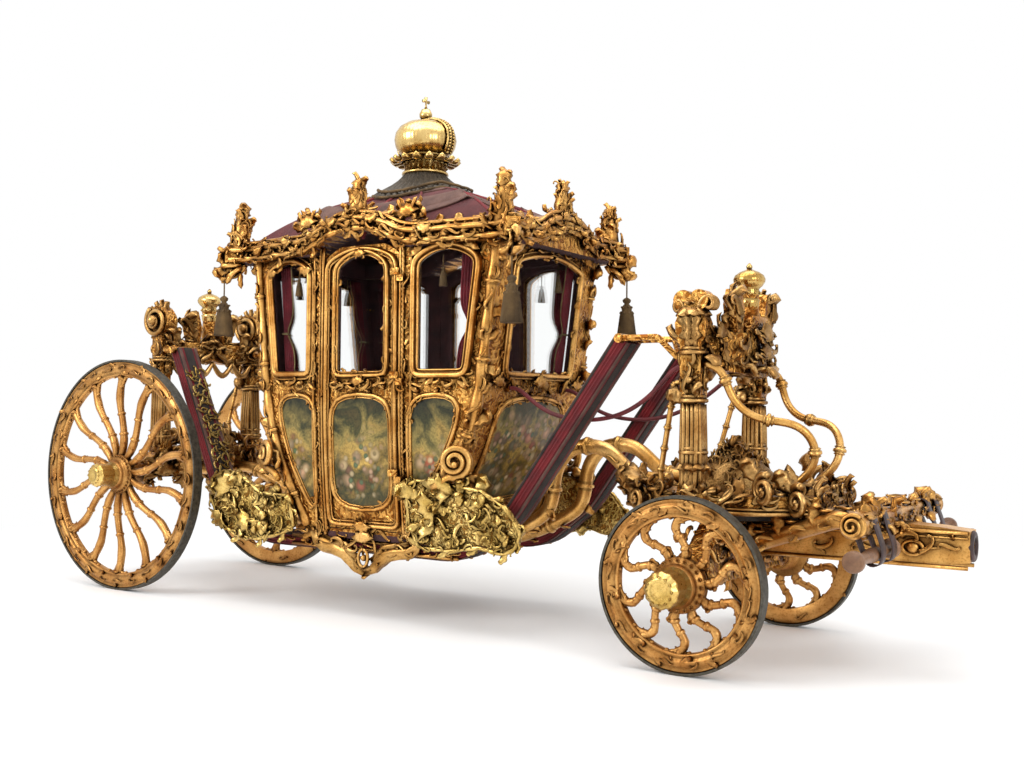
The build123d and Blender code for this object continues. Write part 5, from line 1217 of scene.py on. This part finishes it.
rods = Pile()
guard = fillet([(2.02, -SY, 1.6), (2.125, -SY, 1.6), (2.16, -.42, 1.4), (2.27, -.37, 1.3), (2.5, -.29, 1.285),
                (2.575, -.215, 1.15), (2.53, -.2, 1.01), (2.43, -.2, .96), (2.4, -.2, .92)],
               [.07, .12, .08, .11, .11, .08, .022], 7)
guard = smoothed(resample(guard, .03), 10)
rods.rod(guard, .022, 10)
knuckles(rods, guard, .022, .33, 1.5, 1.3, 12)
front_stay = fillet([(1.9, -SY, 1.5), (1.85, -SY, 1.5), (1.735, -.385, 1.01), (1.735, -.385, .9)], .06)
rear_stay = fillet([(-2.486, -SY, 1.7), (-2.545, -SY, 1.7), (-2.59, -.365, 1.22), (-2.56, -.365, 1.11),
                    (-2.56, -.365, 1.042)], [.038, .09, .05])
for line in (front_stay, rear_stay):
    rods.rod(resample(line, .02), .0155, 10)
    knuckles(rods, line, .0155, .12, 1.35, 1.2, 12)
rods.piece("turned_rods", "coach", PALE, "gilded_wood", replaces=("guard_rods", "standard_stays"))

# ---------------------------------------------------------------- standards, beams and crests
stand = Pile()
faces = (X, -X, Y, -Y)
# columns: x, foot and top of the fluted part, collars, top of the carved part, half depth
for px, z0, z1, collars, z2, hx in ((FSX, .93, 1.38, (1.12, 1.4, 1.66), 1.64, .05),
                                    (RSX, 1.06, 1.5, (1.12, 1.5, 1.7), 1.8, .05)):
    for f in faces:
        along = np.array([f[1], f[0], 0])
        for off in (-.036, -.013, .013, .036):
            stand.rod([(px, -SY, z) + f * (.048 + .006 * math.sin(7 * z)) + along * (off + .004 * math.sin(9 * z))
                       for z in np.linspace(z0, z1, 12)], .0145, 6)
        garnish(stand, [(px + f[0] * hx, -SY + f[1] * .048, z) for z in np.linspace(z1 + .03, z2, 6)], f, .125, .11,
                "broad s c broad", .25, .008, flip=f[1] > 0)
        stand.add(BALL, place((px + f[0] * (hx + .012), -SY + f[1] * .06, (z1 + z2) / 2), Z, f, .026))
        for d in round_about(7, 0, along, Z):
            stand.add(SLIM, place((px + f[0] * (hx + .008), -SY + f[1] * .056, (z1 + z2) / 2) + d * .016, d, f, .052))
    for collar in collars:
        for dz, r in ((0, .07), (.022, .06)):
            q = np.array([(px + r * math.cos(a), -SY + r * math.sin(a) * .96, collar + dz)
                          for a in np.linspace(0, 2 * math.pi, 17)])
            stand.rod(q, .013, 6)
# foliate heads of the front standards: upright leaves and two curling horns
for d in round_about(8, .2):
    stand.add(BROAD, place(np.array([FSX, -SY, 1.68]) + d * .055, Z + d * .12, d, .22))
    stand.add(LEAF, place(np.array([FSX, -SY, 1.8]) + d * .045, Z + d * .25, d, .15))
for sx, big in ((-1, .75), (1, 1)):
    roll = np.array([(FSX + sx * (.02 + x * big), -SY, 1.72 + z * (.75 + .25 * big))
                     for x, z in ((0, 0), (.015, .08), (.018, .15), (.03, .21), (.06, .245), (.094, .238), (.108, .205),
                                  (.092, .175), (.066, .182), (.06, .2))])
    roll = fillet(roll, .03, 2)
    for y in (-.036, -.018, 0, .018, .036):
        stand.rod(roll + (0, y, 0), np.linspace(.017, .012, len(roll)) * (1.1 - 6 * abs(y)), 6)
for d in round_about(8):
    stand.add(BROAD, place(np.array([FSX, -SY, .91]) + d * .07, Z + d * .3, d, .15))
    stand.add(LEAF, place(np.array([RSX, -SY, 1.04]) + d * .07, Z + d * .3, d, .14))
# spiral volutes of the rear standards
n = 60
for face in (-1, 1):
    eye = np.array([RSX - .01, -SY + face * .048, 2])
    coil = volute((2.2, 2.2 + (n - 1) * .21), .118, .118 * (1 - (n - 1) / 72), n, eye, X, Z, Y * face * .0006)
    stand.rod(coil, np.linspace(.022, .01, n), 8)
    stand.add(ball(.042, 16, 10), place((RSX - .01, coil[-1][1], 2), X, Y))
for k in range(12):
    a = .3 + k * .42
    d = spin(a, X, Z)
    stand.add(LEAF, place(np.array([RSX - .01, -SY, 2]) + d * .105, np.array([-d[2], 0, d[0]]) + d * .4, d, .13))
stand.piece("standard_carving", "coach", ANTIQUE, "gilded_wood")

beam = Pile()
ys = np.linspace(-.4, 0, 9)


def bow(y):
    return .17 * (1 - (y / .409) ** 2)


for z, s in ((1.64, .15), (1.74, .15)):
    garnish(beam, [(FSX + .048 + bow(y), y, z) for y in ys], (1, 0, .1), s, .075, "s roc broad c back", .5, .012)
    garnish(beam, [(FSX - .048 + bow(y), y, z) for y in ys], (-1, 0, .1), s, .09, "s broad c back", .5, .01)
garnish(beam, [(FSX + bow(y), y, 1.785) for y in ys], Z, .15, .07, "broad j out leaf", .6, 0)
garnish(beam, [(FSX + bow(y), y, 1.555 + .05 * (y / .4) ** 2) for y in ys], -Z, .14, .08, "broad s leaf", .6, 0)
for z, s in ((1.74, .12), (1.81, .12)):
    for fx in (1, -1):
        garnish(beam, [(RSX + fx * .048, y, z) for y in ys], (fx, 0, 0), s, .07, "s broad c back leaf", .5, .008)
garnish(beam, [(RSX, y, 1.855) for y in ys], Z, .12, .07, "broad j leaf c", .6, 0)
# swags under the rear beam
for k in range(2):
    share = np.linspace(0, 1, 12)
    q = np.array([(RSX + .05, -.4 + .2 * (k + a), 1.7 - .1 * math.sin(math.pi * a)) for a in share])
    beam.rod(q, .014 + .01 * np.sin(math.pi * share), 8)
beam.piece("cross_beam_carving", "coach", ANTIQUE, "gilded_wood")

crowns = Pile()
for mid_x, bowl_z in ((FSX + .14, 2.01), (RSX, 2.11)):
    crowns.turn([(.05, -.06), (.06, -.03), (.046, -.02), (.058, 0), (.062, .012), (.054, .03), (.06, .04), (.074, .052),
                 (.088, .074), (.09, .09), (.08, .112), (.055, .13), (.03, .14), (.01, .146)], 64, (mid_x, 0, bowl_z),
                ripple=fluted(24, .02))
    crowns.add(ball(.018, 12, 8), place((mid_x, 0, bowl_z + .16), X, Z))
    for d in round_about(10):
        crowns.add(BROAD, place(np.array([mid_x, 0, bowl_z + .03]) + d * .052, d * .5 + Z, d, .07))
        crowns.add(BALL, place(np.array([mid_x, 0, bowl_z + .01]) + d * .062, d, Z, .008))
for mid_x, bowl_z, foot_z in ((FSX + .14, 2.01, 1.78), (RSX, 2.11, 1.86)):
    crowns.turn([(.075, foot_z), (.058, foot_z + .03), (.048, foot_z + .06), (.044, bowl_z - .09), (.052, bowl_z - .07),
                 (.055, bowl_z - .05)], 48, (mid_x, 0, 0), ripple=fluted(12, .05))
crowns.piece("crest_crowns", "coach", CROWN, "gilt_bronze", "right")
supporters = Pile()
for mid_x, foot_z, spread in ((FSX + .14, 1.8, .175), (RSX, 1.86, .115)):
    for sg in (-1, 1):
        o = np.array([mid_x, sg * (spread + .055), foot_z])
        bouquet(supporters, o, .23, .085, X, n=16)
        supporters.add(VOLUTE, place(o + (.03, sg * .02, .07), (0, sg * .5, 1), X, .22))
        supporters.add(BROAD, place(o + (.05, 0, .03), (0, sg * .2, 1), X, .21))
supporters.piece("crest_supporters", "coach", ANTIQUE, "gilded_wood", "right")

# ---------------------------------------------------------------- platforms
deck = Pile()
corners = [(-.56, -.3), (-.25, -.505), (.25, -.505), (.56, -.3), (.56, 0)]
rimpts = resample(np.array([(FAX + x, y, PLAT - .047) for x, y in [(-.56, 0)] + corners]), .04)
nrm = np.array([unit((q[0] - FAX if abs(q[0] - FAX) > .27 else 0, q[1] * 1.4, 0)) for q in rimpts])
nrm[abs(rimpts[:, 0] - FAX) > .559] = [[math.copysign(1, q[0] - FAX), 0, 0]
                                       for q in rimpts[abs(rimpts[:, 0] - FAX) > .559]]
for z, s, kinds in ((.012, .125, "s leaf c vol"), (.045, .1, "leaf c back s")):
    garnish(deck, rimpts + (0, 0, z), nrm, s, s * .75, kinds, .3, .008)
for z, r in ((-.044, .013), (-.022, .008)):
    deck.rod(rimpts + nrm * .004 + (0, 0, z), r, 6)
garnish(deck, rimpts + (0, 0, .05) - nrm * .03, Z, .13, .12, "broad j c", .6, 0)
g2 = np.random.default_rng(40)
heap = Pile()
heap.turn([(.3, 0), (.28, .05), (.21, .11), (.14, .17), (.07, .205), (.002, .215)], 24, (FAX - .03, 0, PLAT + .001),
          ripple=lambda a, s: 1 + .05 * np.cos(6 * a) * (1 - s))
for k in range(78):
    a, t = g2.uniform(0, math.pi), g2.uniform(0, 1) ** .9
    d = spin(a, X, -Y)
    r = .31 * (1 - t)
    z = PLAT + .235 * t ** .8
    form = [S2, VOLUTE, C2, J, LEAF, C, VOLUTE][k % 7]
    grow = unit(d * (1 - t) * g2.uniform(.2, .6) + (g2.normal(0, .6), g2.normal(0, .6), g2.uniform(.5, 1.4)))
    heap.add(form, place(np.array([FAX - .03, 0, z - .01]) + d * r, grow, d * (1.25 - .4 * t) + (0, 0, .25 + .2 * t),
                         g2.uniform(.09, .125)))
heap.piece("platform_mound_carving", "coach", ANTIQUE, "gilded_wood", replaces=("platform_mound",))
# leafy clusters at the platform's rear, about the perch ends, and round the guard rods' feet
for x0, x1, y0, y1, count, top in ((-.52, -.3, -.42, -.28, 11, .085), (.22, .48, -.32, -.12, 12, .07),
                                   (.3, .5, -.12, 0, 6, .05), (-.25, .25, -.46, -.36, 7, .03)):
    for k in range(count):
        x, y = FAX + g2.uniform(x0, x1), g2.uniform(y0, y1)
        form = [LEAF, VOLUTE, S2, C2, SHELL][k % 5]
        deck.add(form, place((x, y, PLAT + g2.uniform(-.01, top)),
                             unit((g2.normal(0, 1), g2.normal(-.3, 1), g2.uniform(.1, .9))),
                             unit((g2.normal(.3, .4), g2.normal(-.6, .4), .6)), g2.uniform(.09, .13)))
# spirals on the canted corners
for x, y, z, r in ((2.37, -.47, .935, .082), (2.52, -.385, .875, .085), (1.62, -.42, .86, .07)):
    coil = volute((1.2, 12.5), r, r * .18, 42, (x, y - .012, z), X * .83 - Y * .56, Z, -Y * .0012)
    deck.rod(coil, np.linspace(.022, .012, 42), 7)
    deck.add(BALL, place((x, y - .05, z), X, (.5, -.8, 0), .02))
    deck.add(BROAD, place((x - .05, y, z + .05), (-.6, .2, .8), (.4, -.9, 0), .13))
for k in range(12):
    x = FAX - .55 + .1 * k
    deck.add(LEAF, place((x, -.3 + .02 * math.sin(k), PLAT - .096), (1, .3 * (-1) ** k, 0), -Z, .14))
rear_edge = resample([(x, y, REAR_PLAT) for x, y in ((-2.21, 0), (-2.21, -.33), (-2.27, -.39), (-2.57, -.39),
                                                     (-2.63, -.33), (-2.63, 0))], .03)
rimout = np.array([unit(((q[0] + 2.42) * 1.6, q[1], 0)) for q in rear_edge])
garnish(deck, rear_edge, rimout, .12, .07, "s broad c back roc leaf", .5, .006)
garnish(deck, rear_edge + (0, 0, -.05), rimout, .11, .08, "s broad c back", .5, .006)
for k in range(20):
    x, y = RAX + g2.uniform(-.1, .2), g2.uniform(-.34, 0)
    form = [BROAD, S, C, J, VOLUTE, SHELL][k % 6]
    d = unit((g2.normal(0, 1), g2.normal(0, 1), g2.uniform(.2, 1.4)))
    deck.add(form, place((x, y, REAR_PLAT + .025 + g2.uniform(0, .06)), d,
                         unit((g2.normal(0, .5), g2.normal(-.7, .5), .5)),
                         g2.uniform(.12, .18)))
deck.piece("platform_carving", "coach", ANTIQUE, "gilded_wood")

bed = Pile()
for x, s in ((RAX + .084, 1), (RAX - .084, -1)):
    for z in (.82, .93):
        garnish(bed, [(x, y, z) for y in np.linspace(-.58, 0, 14)], (s, 0, 0), .14, .11, "s roc c broad", .4, .004)
bed.piece("rear_bed_carving", "coach", ANTIQUE, "gilded_wood")

# ---------------------------------------------------------------- fore-carriage
fore = Pile()
for x, s in ((FAX + .074, 1), (FAX - .074, -1)):
    for z in (.47, .58, .68):
        garnish(fore, [(x, y, z) for y in np.linspace(-.58, -.09 if s > 0 else 0, 12)], (s, 0, 0), .13, .12,
                "s c roc", .4, .004)
for z, r in ((.562, .011), (.738, .013), (.712, .007)):
    fore.rod([(x, -.08, z) for x in np.linspace(FAX + .15, 3.285, 4)], r, 6)
for x, z, form, size, a in ((2.36, .65, S, .17, 0), (2.56, .66, C, .16, .3), (2.78, .63, S, .17, .2),
                            (2.98, .68, C, .18, 3.3), (3.05, .63, J, .15, .4), (3.2, .66, S, .13, .1),
                            (2.45, .7, BROAD, .13, .2), (2.66, .69, LEAF, .13, .1), (2.86, .69, BROAD, .13, .3),
                            (3.12, .7, LEAF, .11, .2)):
    fore.add(form, place((x, -POLE_SIDE, z), spin(a, X, Z), -Y, size))
oval = np.array([(3.02 + .052 * math.cos(a), -.092, .65 + .036 * math.sin(a)) for a in np.linspace(0, 2 * math.pi, 25)])
fore.rod(oval, .01, 6)
fore.turn([(.034, 0), (.03, .012), (.016, .02), (.001, .023)], 20, (3.02, -POLE_SIDE, .65), -Y)
garnish(fore, [(x, -.02, .75) for x in np.linspace(FAX + .45, 2.85, 8)], Z, .13, .08, "s broad c", .5, 0)
for d in round_about(4, .78, Y, Z):
    fore.add(LEAF, place(d * .055 + (3.24, 0, POLE_Z), X, d, .06))
for f, off in ((X, .046), (-X, .046), (Z, .044), (-Z, .044)):
    garnish(fore, [(BAR_X + f[0] * off, y, BAR_Z + f[2] * off) for y in np.linspace(-.68, 0, 16)], f, .1, .065,
            "s c back broad", .3, .004)
fore.turn([(.058, -.13), (.064, -.11), (.058, -.09), (.058, -.02), (.064, 0), (.055, .012), (.01, .014)], 24,
          (BAR_X, -.81, BAR_Z), -Y)
coil = volute((.8, 13.2), .056, .01, 44, (BAR_X, -.826, BAR_Z), X, Z, -Y * .0006)
fore.rod(coil, np.linspace(.011, .007, 44), 6)
for k in range(5):
    fore.add(BROAD, place((BAR_X + .05 * math.cos(k), -.76 + .02 * k, .865), (-.3 + .3 * k, .8, .5), (0, -.2, 1), .12))
futch = fillet([(2.11, -.23, .63), (2.24, -.23, .63), (2.756, -.52, BAR_Z), (2.876, -.52, BAR_Z)], .11)
fore.rod(resample(futch, .02), .046, 10)
garnish(fore, futch + (0, -.046, 0), (.3, -1, 0), .11, .09, "s broad c", .3, 0)
garnish(fore, futch + (0, 0, .046), Z, .11, .09, "s broad c", .3, 0)
fore.piece("fore_carriage_carving", "fore_carriage", GOLD, "gilded_wood")
loops = Pile()
way = rounded([(2.866, .8), (2.862, .862), (2.972, .866), (2.984, .8), (3.022, .69), (3.012, .622), (2.955, .612),
               (2.93, .66), (2.905, .74)], .018)
for y in (.455, .655):
    q = np.array([(x, -y, z) for x, z in [*way, way[0]]])
    off = np.array([unit((x - 2.94, 0, z - .74)) for x, z in [*way, way[0]]])
    v = np.stack([q + off * e + (0, w, 0) for e, w in ((0, -.042), (0, .042), (.005, .042), (.005, -.042))], 1)
    loops.add((v.reshape(-1, 3), grid(len(v), 4)))
loops.piece("leather_loops", "fore_carriage", LEATHER, "harness_leather", replaces=("trace_loops",))
collar = Pile()
collar.turn([(.046, -.012), (.07, -.012), (.078, -.006), (.08, .008), (.074, .016), (.062, .018), (.046, .016),
             (.046, -.012)], 40, (3.292, 0, POLE_Z), X, Y)
collar.piece("pole_collar", "fore_carriage", LEATHER, "harness_leather", "right")
bar = Pile()
bar.turn([(.001, -.002), (.036, 0), (.044, .006), (.05, .016), (.051, .04), (.046, .055), (.03, .062), (.025, .09),
          (.026, .2), (.034, .3), (.036, .345), (.034, .39), (.026, .49), (.025, .6), (.03, .628), (.046, .635),
          (.051, .65), (.05, .674), (.044, .686), (.036, .69), (.001, .692)], 24, (2.975, -.33, .67), -Y)
bar.piece("swingletrees_turned", "fore_carriage", KNOB, "gilded_wood", replaces=("swingletrees",))

# ---------------------------------------------------------------- tassels, cords and curtains
def tassel(pile, o, length, r, fringe=40):
    """A tassel hanging from o, whose skirt has radius r and a fringe of so many strands."""
    o = np.asarray(o, float)
    k = length / .26
    head = [(.006, 0), (.016, -.006), (.026, -.016), (.024, -.028), (.014, -.04), (.024, -.052), (.032, -.066),
            (.03, -.085), (.036, -.094)]
    pile.turn([(a * k, z * k) for a, z in head], 24, o, ripple=fluted(12, .05))
    skirt = [(.62, -.088), (.72, -.12), (.84, -.18), (.97, -.245), (.95, -.258), (.3, -.25)]
    pile.turn([(r * a, z * k) for a, z in skirt], 2 * fringe, o, ripple=fluted(fringe, .045))
    for d in round_about(8) if length > .2 else ():
        pile.add(BALL, place(o + d * r * .66 + (0, 0, -.1 * k), d, Z, .009 * k))
        pile.add(BALL, place(o + d * r * .55 + (0, 0, -.062 * k), d, Z, .007 * k))


def cord_curve(name, points, diameter, mat, replaces=()):
    """A round cord as a curve object."""
    cu = bpy.data.curves.new(name, "CURVE")
    cu.dimensions = "3D"
    sp = cu.splines.new("NURBS")
    sp.points.add(len(points) - 1)
    for pt, q in zip(sp.points, points):
        pt.co = (*q, 1)
    sp.order_u = 3
    sp.use_endpoint_u = True
    cu.resolution_u = 8
    cu.bevel_depth = diameter / 2
    cu.bevel_resolution = 3
    cu.use_fill_caps = True
    return dressed(bpy.data.objects.new(name, cu), "coach", mat, replaces)


for sx in (-1, 1):
    for sy in (-1, 1):
        tag = f"{'front' if sx > 0 else 'rear'}_{'left' if sy > 0 else 'right'}"
        x, y = BX + sx * 1.2, sy * .717
        first = sx < 0 and sy < 0
        skein = Pile()
        tassel(skein, (x, y, 2.12), .28, .066)
        tassel_ob = skein.piece(f"tassel_{tag}", "coach", BULLION, "bullion", "right", ("tassels",) if first else ())
        drop = [(x, y, z) for z in (2.35, 2.27, 2.18, 2.08, 1.97)]
        cord = cord_curve(f"tassel_cord_{tag}", drop, .01, BULLION, ("tassel_cords",) if first else ())
for sy, hand in ((1, "left"), (-1, "right")):
    route = [(.69, .33, 1.478), (.745, .33, 1.478), (.85, .332, 1.395), (.97, .334, 1.325), (1.12, .338, 1.29),
             (1.3, .342, 1.285), (1.47, .352, 1.32), (1.62, .374, 1.395),
             (1.74, .402, 1.49), (1.845, .43, 1.59), (1.9, .43, 1.59)]
    cord = cord_curve(f"check_cord_{hand}", [(x, sy * y, z) for x, y, z in route], .026, SILK, (f"sway_cord_{hand}",))

small = Pile()
for x, y, z in ((BX - .62, -.575, 2.22), (BX + .6, -.575, 2.22), (BX + .93, -.25, 2.24), (BX - .93, -.25, 2.24)):
    tassel(small, (x, y, z), .12, .026, 14)
    small.rod([(x, y, z), (x, y, z + .04), (x, y, z + .08)], .004, 6)
small.piece("window_tassels", "coach", BULLION, "bullion")


def curtain(name, mid, across, inward, w_top, trim):
    """A gathered curtain hung from its head and tied back at mid height."""
    nu, nv = 24, 31
    z = np.linspace(2.315, 1.555, nu)
    tie = np.exp(-((z - 1.86) / .085) ** 2)
    wid = w_top * (1 - .62 * tie) * (1 - .12 * (2.3 - z))
    v = np.linspace(-.5, .5, nv)
    across, inward = np.asarray(across, float), np.asarray(inward, float)
    pts = np.zeros((nu, nv, 3))
    for i in range(nu):
        fold = .012 * (1 - .5 * tie[i]) * np.sin(v * 2 * math.pi * 5 + .5 * math.sin(6 * z[i]))
        shift = .03 * tie[i]
        head = np.asarray(mid(z[i]))
        pts[i] = head + across * (v * wid[i] + shift)[:, None] + inward * (fold + .004)[:, None]
    pile = Pile()
    pile.add((pts.reshape(-1, 3), grid(nu, nv, False)))
    ob = pile.piece(name, "coach", CURTAIN, "crimson_velvet", "right")
    sol = ob.modifiers.new("thick", "SOLIDIFY")
    sol.thickness = .003
    tie_p = [pts[14].mean(0) + across * wid[14] * .62 * c + inward * .022 * s
             for c, s in ((1, 0), (.7, .7), (0, 1), (-.7, .7), (-1, 0), (-.7, -.6), (0, -.6), (.7, -.6), (1, 0))]
    trim.rod(np.array(tie_p), .007, 6)
    trim.rod(pts[:, 0] + inward * .002, .005, 6)
    return ob


trims = Pile()
for sx in (-1, 1):
    for sy in (-1, 1):
        mid = lambda z, a=sx, c=sy: (BX + a * (.735 + .06 * (z - 1.56)), c * (half_wid(.735, z) - .066), z)
        ob = curtain(f"curtain_side_{sx + 1}{sy + 1}", mid, (sx, -sy * .1, 0), (0, -sy, 0), .105, trims)
        if sx < 0 and sy < 0:
            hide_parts("curtains")
        mid = lambda z, a=sx, c=sy: (BX + a * (half_len(z) - .066), c * .365, z)
        curtain(f"curtain_end_{sx + 1}{sy + 1}", mid, (0, sy, 0), (-sx, 0, 0), .1, trims)
trims.piece("curtain_trim", "coach", TRIM, "bullion", "right")


# ---------------------------------------------------------------- cushions
def cushion(name, x0, x1, y0, y1, z0, z1, upright, cols):
    """A buttoned cushion, lying, or upright against an end wall, sewn in columns."""
    nu, nv = 16, 30
    u = np.linspace(-1, 1, nu)[:, None]
    v = np.linspace(-1, 1, nv)[None, :]
    bulge = (1 - np.abs(u) ** 4) * (1 - np.abs(v) ** 6)
    seam = 1 - .35 * np.exp(-((np.abs(np.sin(math.pi * cols * (v + 1) / 2))) / .16) ** 2)
    h = np.clip(bulge * seam, 0, 1)
    pile = Pile()
    if upright:
        xs = x0 + (x1 - x0) * (.12 + .88 * h)
        z = (z0 + z1) / 2 + (z1 - z0) / 2 * u * np.ones_like(v)
        lean = np.array([[half_len(q) for q in row] for row in z]) - half_len(z0)
        sgn = 1 if x0 > BX else -1
        pts = np.stack([xs + sgn * lean, (y0 + y1) / 2 + (y1 - y0) / 2 * v * np.ones_like(u), z], -1)
    else:
        pts = np.stack([(x0 + x1) / 2 + (x1 - x0) / 2 * u * np.ones_like(v),
                        (y0 + y1) / 2 + (y1 - y0) / 2 * v * np.ones_like(u), z0 + (z1 - z0) * (.25 + .75 * h)], -1)
    pile.add((pts.reshape(-1, 3), grid(nu, nv, False)))
    ob = pile.piece(name, "coach", LINING, "lining", "right")
    sol = ob.modifiers.new("body", "SOLIDIFY")
    sol.thickness = .035
    sol.offset = -1
    sub = ob.modifiers.new("soft", "SUBSURF")
    sub.levels = sub.render_levels = 1
    return ob


for sx in (-1, 1):
    xa, xb = sorted((BX + sx * .315, BX + sx * .62))
    ob = cushion(f"seat_cushion_{sx + 1}", xa, xb, -.505, .505, .893, .98, False, 3)
    ob2 = cushion(f"back_cushion_{sx + 1}", BX + sx * .648, BX + sx * .585, -.44, .44, 1, 1.475, True, 4)
    if sx > 0:
        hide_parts("seat_cushions")
        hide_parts("back_cushions")

# ---------------------------------------------------------------- finishes of the frame's own pieces
MATS = {"fixed_glass": GLASS, "door_glass_left": GLASS, "door_glass_right": GLASS, "roof": ROOFV, "trace_loops": LEATHER,
        "benches": LINING, "floor": LINING, "pole_housing": GOLD, "splinter_bar": GOLD, "strap_shells": SHELLS}
lined = ("side_wall_left", "side_wall_right", "front_wall", "rear_wall", "door_left", "door_right", "corner_posts",
         "cornice", "roof")
for name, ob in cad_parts.items():
    m = MATS.get(name, TYRE if name.startswith("tyre") else IRON if name.startswith("turn") else CARVED)
    ob.data.materials.clear()
    ob.data.materials.append(m)
    if name in lined:
        ob.data.materials.append(LINING)
        for poly in ob.data.polygons:
            c, n = poly.center, poly.normal
            away = Vector(((c.x - BX) / 1.2, c.y / .7, (c.z - 1.9) / 1.2))
            if n.dot(away) < -.12 and abs(c.y) < .62:
                poly.material_index = 1

scene.view_settings.view_transform = "Standard"
